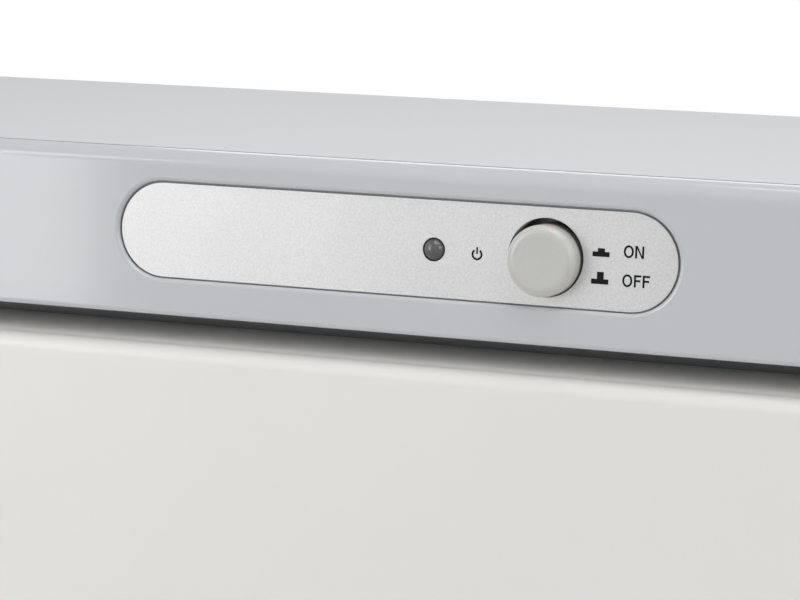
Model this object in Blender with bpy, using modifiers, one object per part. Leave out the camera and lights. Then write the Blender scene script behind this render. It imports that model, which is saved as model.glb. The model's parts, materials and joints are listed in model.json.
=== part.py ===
"""Hot towel cabinet: a drop-down door, a control panel in the front moulding and a pull-out drip tray.

The front faces -Y, +X is to the right seen from the front, and the origin is on the floor under the
middle of the cabinet. Depths are measured back from the front face of the fascia.
"""

import math

import bmesh
import bpy
from mathutils import Euler, Matrix, Vector

MM = 0.001

# Whole cabinet
WIDTH = 450 * MM
HEIGHT = 236 * MM
BODY_DEPTH = 262 * MM
FIT_GAP = 0.3 * MM
SHEET = 1.2 * MM
WRAP_BEND = 6 * MM
REAR_FLANGE = 14 * MM
BASE_FLANGE = 14 * MM

# Feet and screws
FOOT_HEIGHT = 10 * MM
FOOT_RADIUS = 12 * MM
FOOT_TAPER = 1.8 * MM
FOOT_SIDE_INSET = 17 * MM
FOOT_FRONT_DEPTH = 20 * MM
FOOT_REAR_INSET = 22 * MM
FOOT_SCREW_RADIUS = 2 * MM
FOOT_SCREW_HEAD_RADIUS = 4 * MM
FOOT_SCREW_HEAD = 2.4 * MM
FOOT_SCREW_RECESS = 5 * MM
SCREW_CLEARANCE = 0.3 * MM
SCREW_TIP = 1.5 * MM
SCREW_CROWN = 0.35
REAR_SCREW_RADIUS = 1.5 * MM
REAR_SCREW_HEAD_RADIUS = 3.2 * MM
REAR_SCREW_HEAD = 2.2 * MM
REAR_SCREW_LENGTH = 8 * MM
REAR_SCREW_END_INSET = 22 * MM

# Fascia
FASCIA_HEIGHT = 37.2 * MM
FASCIA_FRONT_WALL = 3.5 * MM
FASCIA_SKIN = 2.5 * MM
FASCIA_TOP_ROUND = 3 * MM
FASCIA_BOTTOM_ROUND = 2 * MM

# Control panel
PANEL_LENGTH = 130.4 * MM
PANEL_HEIGHT = 22 * MM
PANEL_SIDE_INSET = 60 * MM
PANEL_RISE = 19.4 * MM
PANEL_RECESS = 2 * MM
PANEL_RIM_ROUND = 0.5 * MM
PLATE_THICK = 0.7 * MM
PLATE_EDGE_GAP = 0.4 * MM
BUTTON_END_INSET = 29.75 * MM
BUTTON_DROP = 0.45 * MM
BUTTON_SAG = 0.4 * MM
BUTTON_HOLE_RADIUS = 8.5 * MM
BUTTON_RADIUS = 7.85 * MM
BUTTON_PROUD = 4.2 * MM
BUTTON_TRAVEL = 3.2 * MM
BUTTON_EDGE_ROUND = 2 * MM
BUTTON_SKIRT = 12 * MM
BUTTON_WALL = 1.5 * MM
BUTTON_FACE = 2 * MM
STEM_RADIUS = 2.5 * MM
STEM_CLEARANCE = 0.4 * MM
STEM_REACH = 6 * MM
SPRING_RADIUS = 4.1 * MM
SPRING_WIRE = 0.4 * MM
SPRING_TURNS = 6
SWITCH_STANDOFF = 13 * MM
SWITCH_SIDE = 18 * MM
SWITCH_DEPTH = 24 * MM
SWITCH_TAB = 6 * MM
BRACKET_THICK = 1.2 * MM
BRACKET_HOLE_RADIUS = 6 * MM
BRACKET_SCREW_SPACING = 30 * MM
BRACKET_MARGIN = 5 * MM
BRACKET_HEIGHT = 18 * MM
BOSS_RADIUS = 3 * MM
BRACKET_SCREW_RADIUS = 1.1 * MM
BRACKET_SCREW_HEAD_RADIUS = 2.2 * MM
BRACKET_SCREW_HEAD = 1.6 * MM
BRACKET_SCREW_LENGTH = 7 * MM
LED_END_INSET = 55.2 * MM
LED_DROP = 0.6 * MM
LED_RADIUS = 2.5 * MM
LED_PROUD = 1.3 * MM
LED_LENGTH = 8.6 * MM
LED_FLANGE_RADIUS = 2.95 * MM
LED_FLANGE = 1 * MM
LED_CLEARANCE = 0.25 * MM
LED_RETAINER_RADIUS = 4.6 * MM

# Door
FINGER_GAP = 6.6 * MM
DOOR_BOTTOM = 35 * MM
DOOR_THICK = 27 * MM
DOOR_WALL = 2.5 * MM
DOOR_EDGE_ROUND = 3.5 * MM
DOOR_LIP = 22 * MM
DOOR_LIP_RISE = 2 * MM
LIP_RETURN = 12.5 * MM
GROOVE_DEPTH = 16 * MM
GROOVE_FLOOR = 2 * MM
LINER_THICK = 2.5 * MM
LINER_FLANGE = 16 * MM
DOOR_SLAB_MARGIN = 24 * MM
GASKET_THICK = 3.4 * MM
GASKET_WIDTH = 6 * MM
GASKET_MARGIN = 2.5 * MM
HINGE_INSET = 7 * MM
HINGE_PIN_RADIUS = 2.5 * MM
HINGE_CLEARANCE = 0.1 * MM
HINGE_PIN_IN_DOOR = 12 * MM
HINGE_BLOCK = 15 * MM
CHEEK_WIDTH = 10 * MM
CHEEK_SET_IN = 3 * MM
CHEEK_ROUND = 6 * MM
CHEEK_CLEARANCE = 1.5 * MM
LINER_SCREW_RADIUS = 1.5 * MM
LINER_SCREW_HEAD_RADIUS = 3.5 * MM
LINER_SCREW_HEAD = 1.6 * MM
LINER_SCREW_LENGTH = 12 * MM
LINER_SCREW_SIDE_INSET = 13 * MM
LINER_SCREW_LOW = 25 * MM
LINER_SCREW_HIGH = 7 * MM
LINER_BOSS_RADIUS = 3.5 * MM
STRIKE_THICK = 1 * MM
STRIKE_WIDTH = 14 * MM
STRIKE_HEIGHT = 34 * MM
CATCH_BODY_WIDTH = 9 * MM
CATCH_BODY_HEIGHT = 28 * MM
CATCH_BODY_DEPTH = 6 * MM
CATCH_SIDE_INSET = 12 * MM
CATCH_DROP = 41.8 * MM

# Chamber
FRAME_THICK = 4 * MM
FRAME_LAP = 6 * MM
CHAMBER_SIDE_SPACE = 30 * MM
CHAMBER_TOP_SPACE = 74 * MM
CHAMBER_REAR_SPACE = 21.7 * MM
CHAMBER_FLOOR = 52 * MM
CHAMBER_CORNER = 8 * MM
CHAMBER_WALL = 1.5 * MM
CHAMBER_FLANGE = 8 * MM
INSULATION = 12 * MM
HEATER_THICK = 1.6 * MM
HEATER_MARGIN = 22 * MM
SHIELD_THICK = 1 * MM
THERMOSTAT_RADIUS = 8 * MM
THERMOSTAT_DEPTH = 8 * MM
THERMOSTAT_X = -18 * MM
THERMOSTAT_TAB = 3 * MM
FUSE_X = 18 * MM
FUSE_RADIUS = 2.2 * MM
FUSE_LENGTH = 14 * MM
FUSE_LEAD = 6 * MM
FUSE_LEAD_RADIUS = 0.7 * MM
SENSOR_WINDOW = 3 * MM

# Rack
RACK_WIRE = 1.5 * MM
RACK_RAIL_RADIUS = 2 * MM
RACK_RISE = 14 * MM
RACK_SIDE_MARGIN = 14 * MM
RACK_END_MARGIN = 12 * MM
RACK_BEND = 6 * MM
RACK_WIRES = 9
RACK_OVERHANG = 5 * MM
RACK_BITE = 0.7 * MM

# Drip tray
TRAY_SIDE_SPACE = 23 * MM
TRAY_REAR_SPACE = 67 * MM
TRAY_HEIGHT = 17 * MM
TRAY_WALL = 2 * MM
TRAY_FRONT = 2 * MM
TRAY_FACE_HEIGHT = 18 * MM
TRAY_FACE_THICK = 3 * MM
TRAY_SIDE_GAP = 0.6 * MM
TRAY_CLEARANCE = 1.2 * MM
GUIDE_REAR_INSET = 40 * MM

# Mains inlet and wiring
INLET_SIDE_INSET = 65 * MM
INLET_DROP = 30 * MM
INLET_WIDTH = 28 * MM
INLET_HEIGHT = 21 * MM
INLET_WALL = 2 * MM
INLET_DEPTH = 24 * MM
INLET_SOCKET = 20 * MM
INLET_PIN_LENGTH = 14 * MM
INLET_PIN_WIDTH = 4 * MM
INLET_PIN_THICK = 2 * MM
INLET_PIN_SPACING = 7 * MM
INLET_EARTH_RISE = 3 * MM
INLET_FLANGE_WIDTH = 50 * MM
INLET_FLANGE = 2.2 * MM
INLET_SCREW_SPACING = 40 * MM
INLET_SCREW_RADIUS = 1.5 * MM
INLET_SCREW_HEAD_RADIUS = 2.8 * MM
INLET_SCREW_HEAD = 1.5 * MM
INLET_SCREW_LENGTH = 8 * MM
TERMINAL_X = 40 * MM
TERMINAL_REAR_INSET = 40 * MM
TERMINAL_WIDTH = 30 * MM
TERMINAL_DEPTH = 16 * MM
TERMINAL_HEIGHT = 12 * MM
WIRE_RADIUS = 1.3 * MM
WIRE_LIFT = 6 * MM
WIRE_STRAIGHT = 10 * MM
WIRE_END_GAP = 0.6 * MM
WIRE_SWING = 20 * MM
WIRE_REAR_INSET = 112 * MM
WIRE_FRONT_DEPTH = 90 * MM
LEAD_X = 25 * MM
LEAD_RISE = 12 * MM
LEAD_LEAN = 6 * MM
LEAD_SLOT = 8 * MM
VENT_SLOTS = 6
VENT_WIDTH = 46 * MM
VENT_HEIGHT = 2.6 * MM
VENT_PITCH = 6 * MM
VENT_SIDE_INSET = 85 * MM
VENT_TOP_INSET = 22 * MM

# A rounded corner's arc crosses the two faces it joins by this much, so that it isn't tangent to them
CORNER_EASE = 0.03 * MM

# How finely round shapes are divided
ARC_STEPS = 6
PANEL_STEPS = 20
RIM_STEPS = 4
ROUND_SIDES = 24
BUTTON_SIDES = 40
WIRE_SIDES = 8
SPRING_STEPS = 9
RACK_BEND_STEPS = 3

# Places worked out from the sizes above
PLATE_FACE = PANEL_RECESS - FIT_GAP - PLATE_THICK
PANEL_END = WIDTH / 2 - PANEL_SIDE_INSET
PANEL_X = PANEL_END - PANEL_LENGTH / 2
BUTTON_X = PANEL_END - BUTTON_END_INSET
LED_X = PANEL_END - LED_END_INSET
BUTTON_STANDS = BUTTON_PROUD - PLATE_FACE
REAR_PROUD = INLET_FLANGE + INLET_SCREW_HEAD + 2 * FIT_GAP
FRONT_Y = -(BODY_DEPTH + REAR_PROUD - BUTTON_STANDS) / 2
FASCIA_BOTTOM = HEIGHT - FASCIA_HEIGHT
PANEL_Z = FASCIA_BOTTOM + PANEL_RISE
BUTTON_HOLE_Z = PANEL_Z - BUTTON_DROP
BUTTON_Z = BUTTON_HOLE_Z - BUTTON_SAG
DOOR_TOP = FASCIA_BOTTOM - FINGER_GAP
HINGE_Z = DOOR_BOTTOM + HINGE_INSET
FRAME_FRONT = DOOR_THICK + GASKET_THICK + 2 * FIT_GAP
FRAME_BACK = FRAME_FRONT + FRAME_THICK
FASCIA_BACK = FRAME_FRONT - FIT_GAP
SEAM = FASCIA_TOP_ROUND + FIT_GAP
INSIDE_HALF = WIDTH / 2 - SHEET - FIT_GAP
REAR_PANEL_FRONT = BODY_DEPTH - SHEET
FLANGE_BACK = REAR_PANEL_FRONT - FIT_GAP
FLANGE_FRONT = FLANGE_BACK - SHEET
BASE_TOP = FOOT_HEIGHT + SHEET
TRAY_BOTTOM = BASE_TOP + FIT_GAP
SILL = TRAY_BOTTOM + TRAY_FACE_HEIGHT + TRAY_CLEARANCE
CHAMBER_WIDTH = WIDTH - 2 * CHAMBER_SIDE_SPACE
CHAMBER_TOP = HEIGHT - CHAMBER_TOP_SPACE
CHAMBER_FRONT = FRAME_BACK + FIT_GAP
CHAMBER_BACK = BODY_DEPTH - CHAMBER_REAR_SPACE
SENSOR_Z = (CHAMBER_FLOOR + CHAMBER_TOP) / 2
TANK_HALF = CHAMBER_WIDTH / 2 + CHAMBER_WALL
TANK_BACK = CHAMBER_BACK + CHAMBER_WALL
HEATER_TOP = CHAMBER_FLOOR - CHAMBER_WALL - FIT_GAP
INSULATION_IN_BOTTOM = HEATER_TOP - HEATER_THICK - FIT_GAP
INSULATION_BOTTOM = INSULATION_IN_BOTTOM - INSULATION
INSULATION_TOP = CHAMBER_TOP + CHAMBER_WALL + FIT_GAP + INSULATION
INSULATION_HALF = TANK_HALF + FIT_GAP + INSULATION
INSULATION_BACK = TANK_BACK + FIT_GAP + INSULATION
SHIELD_BOTTOM = INSULATION_TOP + FIT_GAP
SHIELD_TOP = SHIELD_BOTTOM + SHIELD_THICK
SWITCH_FRONT = SWITCH_STANDOFF + BRACKET_THICK + FIT_GAP
LINER_FRONT = DOOR_THICK - LINER_THICK
DOOR_LIP_TOP = DOOR_TOP + DOOR_LIP_RISE
LINER_TOP = DOOR_TOP - GROOVE_DEPTH
LINER_BOTTOM = DOOR_BOTTOM + DOOR_WALL + FIT_GAP
LINER_HALF = WIDTH / 2 - DOOR_WALL - FIT_GAP
CHEEK_OUTER = WIDTH / 2 - CHEEK_SET_IN
CHEEK_INNER = CHEEK_OUTER - CHEEK_WIDTH
NOTCH_INNER = CHEEK_INNER - FIT_GAP
NOTCH_TOP = HINGE_Z + CHEEK_ROUND + CHEEK_CLEARANCE
BLOCK_INNER = NOTCH_INNER - HINGE_BLOCK
BLOCK_TOP = NOTCH_TOP + DOOR_WALL
CATCH_Z = LINER_TOP - CATCH_DROP
TRAY_HALF = WIDTH / 2 - TRAY_SIDE_SPACE
TRAY_BACK = BODY_DEPTH - TRAY_REAR_SPACE
INLET_X = WIDTH / 2 - INLET_SIDE_INSET
INLET_Z = HEIGHT - INLET_DROP
VENT_X = VENT_SIDE_INSET - WIDTH / 2

COLOURS = {
    "grey_paint": ((0.62, 0.63, 0.65), 0.32, 0.0),
    "fascia_grey": ((0.52, 0.53, 0.545), 0.3, 0.0),
    "satin_silver": ((0.66, 0.66, 0.66), 0.42, 0.8),
    "button_grey": ((0.5, 0.5, 0.48), 0.4, 0.0),
    "smoked_lens": ((0.09, 0.09, 0.09), 0.2, 0.0),
    "door_white": ((0.74, 0.73, 0.7), 0.4, 0.0),
    "frame_white": ((0.72, 0.71, 0.68), 0.5, 0.0),
    "frame_grey": ((0.2, 0.2, 0.2), 0.5, 0.0),
    "aluminium": ((0.75, 0.75, 0.76), 0.35, 1.0),
    "steel": ((0.6, 0.6, 0.6), 0.35, 1.0),
    "black_plastic": ((0.02, 0.02, 0.02), 0.5, 0.0),
    "rubber": ((0.03, 0.03, 0.03), 0.8, 0.0),
    "silicone": ((0.55, 0.55, 0.53), 0.6, 0.0),
    "wool": ((0.7, 0.66, 0.52), 0.95, 0.0),
    "foam": ((0.85, 0.85, 0.83), 0.9, 0.0),
    "heater_red": ((0.45, 0.09, 0.05), 0.6, 0.0),
    "brown_wire": ((0.2, 0.08, 0.03), 0.5, 0.0),
    "blue_wire": ((0.03, 0.1, 0.4), 0.5, 0.0),
    "white_wire": ((0.7, 0.7, 0.68), 0.5, 0.0),
}


def depth(distance):
    """World Y of a place this far behind the front face of the fascia."""
    return FRONT_Y + distance


def depths(start, end):
    return depth(start), depth(end)


def side_span(sign, inner, outer):
    """X range between two distances from the middle, on the left (-1) or the right (1)."""
    return tuple(sorted((sign * inner, sign * outer)))


def about(centre, size):
    return centre - size / 2, centre + size / 2


# Collections and materials
def clear_scene():
    for obj in list(bpy.data.objects):
        bpy.data.objects.remove(obj, do_unlink=True)


def new_collection(name):
    collection = bpy.data.collections.new(name)
    bpy.context.scene.collection.children.link(collection)
    return collection


def make_materials():
    made = {}
    for name, (colour, roughness, metallic) in COLOURS.items():
        material = bpy.data.materials.new(name)
        material.use_nodes = True
        shader = material.node_tree.nodes["Principled BSDF"]
        shader.inputs["Base Color"].default_value = (*colour, 1)
        shader.inputs["Roughness"].default_value = roughness
        shader.inputs["Metallic"].default_value = metallic
        made[name] = material
    return made


clear_scene()
PARTS = new_collection("compress_warmer")
CUTTERS = new_collection("cutters")
CUTTERS.hide_render = True
MATERIALS = make_materials()


# Shapes, all made in world coordinates
def object_of(name, mesh):
    return bpy.data.objects.new(name, mesh)


def mesh_from(name, bm):
    bmesh.ops.recalc_face_normals(bm, faces=bm.faces)
    mesh = bpy.data.meshes.new(name)
    bm.to_mesh(mesh)
    bm.free()
    return mesh


def box(name, x, y, z):
    bm = bmesh.new()
    bmesh.ops.create_cube(bm, size=1)
    size = Vector((x[1] - x[0], y[1] - y[0], z[1] - z[0]))
    middle = Vector((sum(x), sum(y), sum(z))) / 2
    bmesh.ops.transform(bm, matrix=Matrix.Translation(middle) @ Matrix.Diagonal(size).to_4x4(), verts=bm.verts)
    return object_of(name, mesh_from(name, bm))


def rod(name, axis, start, end, radius, sides=ROUND_SIDES):
    """A cylinder along X, Y or Z between two points."""
    start = Vector(start)
    end = Vector(end)
    turn = {"X": Euler((0, math.pi / 2, 0)), "Y": Euler((math.pi / 2, 0, 0)), "Z": Euler()}[axis]
    bm = bmesh.new()
    bmesh.ops.create_cone(
        bm, cap_ends=True, segments=sides, radius1=radius, radius2=radius, depth=(end - start).length
    )
    place = Matrix.Translation((start + end) / 2) @ turn.to_matrix().to_4x4()
    bmesh.ops.transform(bm, matrix=place, verts=bm.verts)
    return object_of(name, mesh_from(name, bm))


def arc(centre, radius, start, end, steps=ARC_STEPS):
    """Points of an arc in degrees, both ends included, or the centre when the radius is nothing."""
    if radius <= 0:
        return [tuple(centre)]
    angles = [math.radians(start + (end - start) * i / steps) for i in range(steps + 1)]
    return [(centre[0] + radius * math.cos(a), centre[1] + radius * math.sin(a)) for a in angles]


def rounded_rectangle(u, v, low_radius, high_radius):
    points = arc((u[1] - low_radius, v[0] + low_radius), low_radius, 270, 360)
    points += arc((u[1] - high_radius, v[1] - high_radius), high_radius, 0, 90)
    points += arc((u[0] + high_radius, v[1] - high_radius), high_radius, 90, 180)
    points += arc((u[0] + low_radius, v[0] + low_radius), low_radius, 180, 270)
    return points


def stadium(length, height):
    radius = height / 2
    reach = length / 2 - radius
    points = arc((PANEL_X + reach, PANEL_Z), radius, -90, 90, PANEL_STEPS)
    return points + arc((PANEL_X - reach, PANEL_Z), radius, 90, 270, PANEL_STEPS)


def mesh_of_curve(name, curve, matrix):
    """The curve's evaluated mesh with its caps welded on."""
    guide = bpy.data.objects.new(name + "_guide", curve)
    CUTTERS.objects.link(guide)
    evaluated = guide.evaluated_get(bpy.context.evaluated_depsgraph_get())
    mesh = bpy.data.meshes.new_from_object(evaluated)
    bpy.data.objects.remove(guide)
    bm = bmesh.new()
    bm.from_mesh(mesh)
    bmesh.ops.remove_doubles(bm, verts=bm.verts, dist=1e-7)
    bmesh.ops.transform(bm, matrix=matrix, verts=bm.verts)
    return object_of(name, mesh_from(name, bm))


def extruded(name, outline, axis, start, end):
    """A flat outline given thickness along X (outline in Y and Z), Y (in X and Z) or Z (in X and Y)."""
    curve = bpy.data.curves.new(name, "CURVE")
    curve.dimensions = "2D"
    curve.fill_mode = "BOTH"
    curve.extrude = (end - start) / 2
    spline = curve.splines.new("POLY")
    spline.points.add(len(outline) - 1)
    spline.use_cyclic_u = True
    for point, (u, v) in zip(spline.points, outline):
        point.co = (u, v, 0, 1)
    quarter = math.pi / 2
    turn = {"X": Euler((quarter, 0, quarter)), "Y": Euler((quarter, 0, 0)), "Z": Euler()}[axis]
    middle = Vector([(start + end) / 2 if axis == letter else 0 for letter in "XYZ"])
    return mesh_of_curve(name, curve, Matrix.Translation(middle) @ turn.to_matrix().to_4x4())


def corner_cutter(name, axis, corner, radius, towards, start, end):
    """What a rounded corner takes off a square one. towards holds the signs of the corner's two directions."""
    set_in = radius - CORNER_EASE
    centre = (corner[0] - towards[0] * set_in, corner[1] - towards[1] * set_in)
    first = 0 if towards[0] > 0 else 180
    last = 90 if towards[1] > 0 else (-90 if towards[0] > 0 else 270)
    beyond = (corner[0] + towards[0] * SHEET, corner[1] + towards[1] * SHEET)
    outline = arc(centre, radius, first, last)
    outline += [(centre[0], beyond[1]), beyond, (beyond[0], centre[1])]
    return extruded(name, outline, axis, start, end)


def tube_curve(name, points, radius, resolution):
    curve = bpy.data.curves.new(name, "CURVE")
    curve.dimensions = "3D"
    curve.bevel_depth = radius
    curve.bevel_resolution = resolution
    curve.use_fill_caps = True
    spline = curve.splines.new("POLY")
    spline.points.add(len(points) - 1)
    for point, place in zip(spline.points, points):
        point.co = (*place, 1)
    return curve


def smooth_route(points, steps=3):
    """Points along a smooth curve through a wire's route, with its ends straight for one wire's width."""
    route = [Vector(p) for p in points]
    first = route[0]
    last = route[-1]
    route[0] = first + (route[1] - first).normalized() * 2 * WIRE_RADIUS
    route[-1] = last + (route[-2] - last).normalized() * 2 * WIRE_RADIUS
    ends = [first] + route + [last]
    found = [first]
    for before, start, end, after in zip(ends, ends[1:], ends[2:], ends[3:]):
        for i in range(steps):
            t = i / steps
            bend = (2 * before - 5 * start + 4 * end - after) * t * t
            twist = (3 * start - before - 3 * end + after) * t * t * t
            found.append((2 * start + (end - before) * t + bend + twist) / 2)
    return found + [route[-1], last]


def turned(name, profile, place, sides):
    """A closed (radius, height) profile turned about its axis. It runs down the outer side."""
    bm = bmesh.new()
    points = [bm.verts.new((radius, 0, height)) for radius, height in profile]
    for first, second in zip(points, points[1:]):
        bm.edges.new((first, second))
    mesh = bpy.data.meshes.new(name)
    bm.to_mesh(mesh)
    bm.free()
    obj = object_of(name, mesh)
    screw = obj.modifiers.new("turn", "SCREW")
    screw.steps = sides
    screw.render_steps = sides
    screw.use_merge_vertices = True
    screw.merge_threshold = 1e-6
    obj.location = place
    return obj


def lofted(name, rings):
    """A solid through outlines of equal point counts, each at its own depth."""
    bm = bmesh.new()
    loops = [[bm.verts.new((u, depth(d), v)) for u, v in outline] for outline, d in rings]
    count = len(loops[0])
    for near, far in zip(loops, loops[1:]):
        for i in range(count):
            j = (i + 1) % count
            bm.faces.new((near[i], near[j], far[j], far[i]))
    bm.faces.new(loops[0])
    bm.faces.new(loops[-1])
    return object_of(name, mesh_from(name, bm))


# Building up an object
def combine(target, others, operation):
    for other in others:
        CUTTERS.objects.link(other)
        other.hide_render = True
        other.display_type = "WIRE"
        modifier = target.modifiers.new(other.name, "BOOLEAN")
        modifier.operation = operation
        modifier.object = other
    return target


def join(target, *others):
    return combine(target, others, "UNION")


def cut(target, *others):
    return combine(target, others, "DIFFERENCE")


def add(obj, material, parent=None):
    """Puts a finished piece in the model, with its origin on its joint's axis where it has a parent."""
    PARTS.objects.link(obj)
    obj.data.materials.clear()
    obj.data.materials.append(MATERIALS[material])
    if obj.type == "MESH" and not any(m.type == "SCREW" for m in obj.modifiers):
        obj.data.shade_smooth()
        obj.data.set_sharp_from_angle(angle=math.radians(35))
    if parent:
        obj.parent = parent
        obj.matrix_parent_inverse = parent.matrix_world.inverted()
    return obj


def joint_empty(name, place):
    empty = bpy.data.objects.new(name, None)
    empty.location = place
    PARTS.objects.link(empty)
    bpy.context.view_layer.update()
    return empty


def screw(name, place, axis_turn, radius, length, head_radius, head, material="steel", parent=None):
    """A pan head screw with its head's underside at place, its shank running along local -Z."""
    crown = head * SCREW_CROWN
    profile = [
        (0, head),
        (head_radius - crown, head),
        (head_radius, head - crown),
        (head_radius, 0),
        (radius, 0),
        (radius, -length + SCREW_TIP),
        (0, -length),
    ]
    obj = turned(name, profile, place, ROUND_SIDES // 2)
    obj.rotation_euler = axis_turn
    return add(obj, material, parent)


FACING_FRONT = (math.pi / 2, 0, 0)
FACING_BACK = (-math.pi / 2, 0, 0)
FACING_DOWN = (math.pi, 0, 0)
SIDES = (("left", -1), ("right", 1))


# Casing
def outer_wrap():
    """The folded sheet: a block hollowed from the front, its rear wall opened to leave flanges."""
    half = WIDTH / 2
    outline = rounded_rectangle((-half, half), (FOOT_HEIGHT, HEIGHT), 0, WRAP_BEND)
    wrap = extruded("outer_wrap", outline, "Y", depth(SEAM), depth(FLANGE_BACK))
    inner = half - SHEET
    hollow = rounded_rectangle((-inner, inner), (0, HEIGHT - SHEET), 0, WRAP_BEND - SHEET)
    cut(wrap, extruded("wrap_hollow", hollow, "Y", depth(SEAM - SHEET), depth(FLANGE_FRONT)))
    window = half - REAR_FLANGE
    window_y = depths(FLANGE_FRONT - SHEET, FLANGE_BACK + SHEET)
    cut(wrap, box("wrap_rear_window", (-window, window), window_y, (0, HEIGHT - REAR_FLANGE)))
    door_zone = box("wrap_door_zone", (-WIDTH, WIDTH), depths(0, FRAME_FRONT), (0, FASCIA_BOTTOM))
    cut(wrap, door_zone, *rear_screw_holes("wrap"))
    return add(wrap, "grey_paint")


def rear_screw_places():
    x = WIDTH / 2 - REAR_FLANGE / 2
    low = FOOT_HEIGHT + REAR_SCREW_END_INSET
    high = HEIGHT - REAR_SCREW_END_INSET
    return {"low_left": (-x, low), "low_right": (x, low), "high_left": (-x, high), "high_right": (x, high)}


def rear_screw_holes(owner):
    radius = REAR_SCREW_RADIUS + SCREW_CLEARANCE
    reach = depths(FLANGE_FRONT - SHEET, BODY_DEPTH + SHEET)
    return [
        rod(f"{owner}_screw_hole_{name}", "Y", (x, reach[0], z), (x, reach[1], z), radius, ROUND_SIDES // 2)
        for name, (x, z) in rear_screw_places().items()
    ]


def rear_panel():
    edge = SHEET
    outline = rounded_rectangle(
        (-WIDTH / 2 + edge, WIDTH / 2 - edge), (FOOT_HEIGHT, HEIGHT - edge), 0, WRAP_BEND
    )
    panel = extruded("rear_panel", outline, "Y", depth(REAR_PANEL_FRONT), depth(BODY_DEPTH))
    through = depths(REAR_PANEL_FRONT - SHEET, BODY_DEPTH + SHEET)
    window_x = about(INLET_X, INLET_WIDTH + 2 * FIT_GAP)
    window_z = about(INLET_Z, INLET_HEIGHT + 2 * FIT_GAP)
    cut(panel, box("rear_inlet_window", window_x, through, window_z))
    for i in range(VENT_SLOTS):
        z = HEIGHT - VENT_TOP_INSET - i * VENT_PITCH
        cut(panel, box(f"rear_vent_{i}", about(VENT_X, VENT_WIDTH), through, about(z, VENT_HEIGHT)))
    cut(panel, *rear_screw_holes("rear_panel"), *inlet_screw_holes("rear_panel"))
    add(panel, "grey_paint")
    for name, (x, z) in rear_screw_places().items():
        place = (x, depth(BODY_DEPTH + FIT_GAP), z)
        screw(
            f"rear_screw_{name}", place, FACING_BACK,
            REAR_SCREW_RADIUS, REAR_SCREW_LENGTH, REAR_SCREW_HEAD_RADIUS, REAR_SCREW_HEAD,
        )


def foot_places():
    x = WIDTH / 2 - FOOT_SIDE_INSET
    front = depth(FOOT_FRONT_DEPTH)
    rear = depth(BODY_DEPTH - FOOT_REAR_INSET)
    rows = (("front", front), ("rear", rear))
    return {f"{row}_{name}": (sign * x, y) for row, y in rows for name, sign in SIDES}


def base_pan():
    half = INSIDE_HALF
    top = FOOT_HEIGHT + BASE_FLANGE
    inner = half - SHEET
    outline = [(-half, FOOT_HEIGHT), (half, FOOT_HEIGHT), (half, top), (inner, top)]
    outline += [(inner, BASE_TOP), (-inner, BASE_TOP), (-inner, top), (-half, top)]
    rear = FLANGE_FRONT - FIT_GAP
    pan = extruded("base_pan", outline, "Y", depth(FRAME_FRONT), depth(rear))
    tongue_y = depths(TRAY_FRONT, FRAME_FRONT + BASE_FLANGE)
    join(pan, box("base_tongue", (-CHEEK_OUTER, CHEEK_OUTER), tongue_y, (FOOT_HEIGHT, BASE_TOP)))
    join(pan, box("base_rear_flange", (-inner, inner), depths(rear - SHEET, rear), (FOOT_HEIGHT, top)))
    hole = FOOT_SCREW_RADIUS + SCREW_CLEARANCE
    for name, (x, y) in foot_places().items():
        ends = [(x, y, z) for z in (0, BASE_TOP + SHEET)]
        cut(pan, rod(f"base_foot_hole_{name}", "Z", *ends, hole, ROUND_SIDES // 2))
    add(pan, "steel")
    for name, (x, y) in foot_places().items():
        foot(name, x, y)


def foot(name, x, y):
    top = FOOT_HEIGHT - FIT_GAP
    bore = FOOT_SCREW_RADIUS + SCREW_CLEARANCE
    well = FOOT_SCREW_HEAD_RADIUS + SCREW_CLEARANCE
    profile = [
        (bore, top),
        (FOOT_RADIUS, top),
        (FOOT_RADIUS - FOOT_TAPER, 0),
        (well, 0),
        (well, FOOT_SCREW_RECESS),
        (bore, FOOT_SCREW_RECESS),
        (bore, top),
    ]
    add(turned(f"foot_{name}", profile, (x, y, 0), ROUND_SIDES), "rubber")
    length = BASE_TOP + SCREW_TIP + FIT_GAP - FOOT_SCREW_RECESS
    screw(
        f"foot_screw_{name}", (x, y, FOOT_SCREW_RECESS - FIT_GAP), FACING_DOWN,
        FOOT_SCREW_RADIUS, length, FOOT_SCREW_HEAD_RADIUS, FOOT_SCREW_HEAD,
    )


# Front moulding and controls
def fascia_rebate():
    """What the casing's sheet takes off the fascia's back: all outside the casing's inner face."""
    half = INSIDE_HALF
    ledge = HEIGHT - SHEET - FIT_GAP
    bend = WRAP_BEND - SHEET - FIT_GAP
    outline = [(-WIDTH, 0), (-WIDTH, 2 * HEIGHT), (WIDTH, 2 * HEIGHT), (WIDTH, 0), (half, 0)]
    outline += arc((half - bend, ledge - bend), bend, 0, 90)
    outline += [*arc((bend - half, ledge - bend), bend, 90, 180), (-half, 0)]
    return extruded("fascia_rebate", outline, "Y", *depths(FASCIA_TOP_ROUND, FASCIA_BACK + SHEET))


def fascia_pocket():
    """The hollow behind the front wall, with the switch bracket's two bosses left standing in it."""
    half = INSIDE_HALF - FASCIA_SKIN
    z = (FASCIA_BOTTOM + FASCIA_SKIN, HEIGHT - SHEET - FIT_GAP - FASCIA_SKIN)
    pocket = box("fascia_pocket", (-half, half), depths(FASCIA_FRONT_WALL, FASCIA_BACK + SHEET), z)
    for name, x in bracket_screw_places().items():
        ends = [(x, depth(d), BUTTON_Z) for d in (0, SWITCH_STANDOFF - FIT_GAP)]
        cut(pocket, rod(f"fascia_boss_{name}", "Y", *ends, BOSS_RADIUS, ROUND_SIDES // 2))
    return pocket


def bracket_screw_places():
    reach = BRACKET_SCREW_SPACING / 2
    return {"inner": BUTTON_X - reach, "outer": BUTTON_X + reach}


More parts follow.
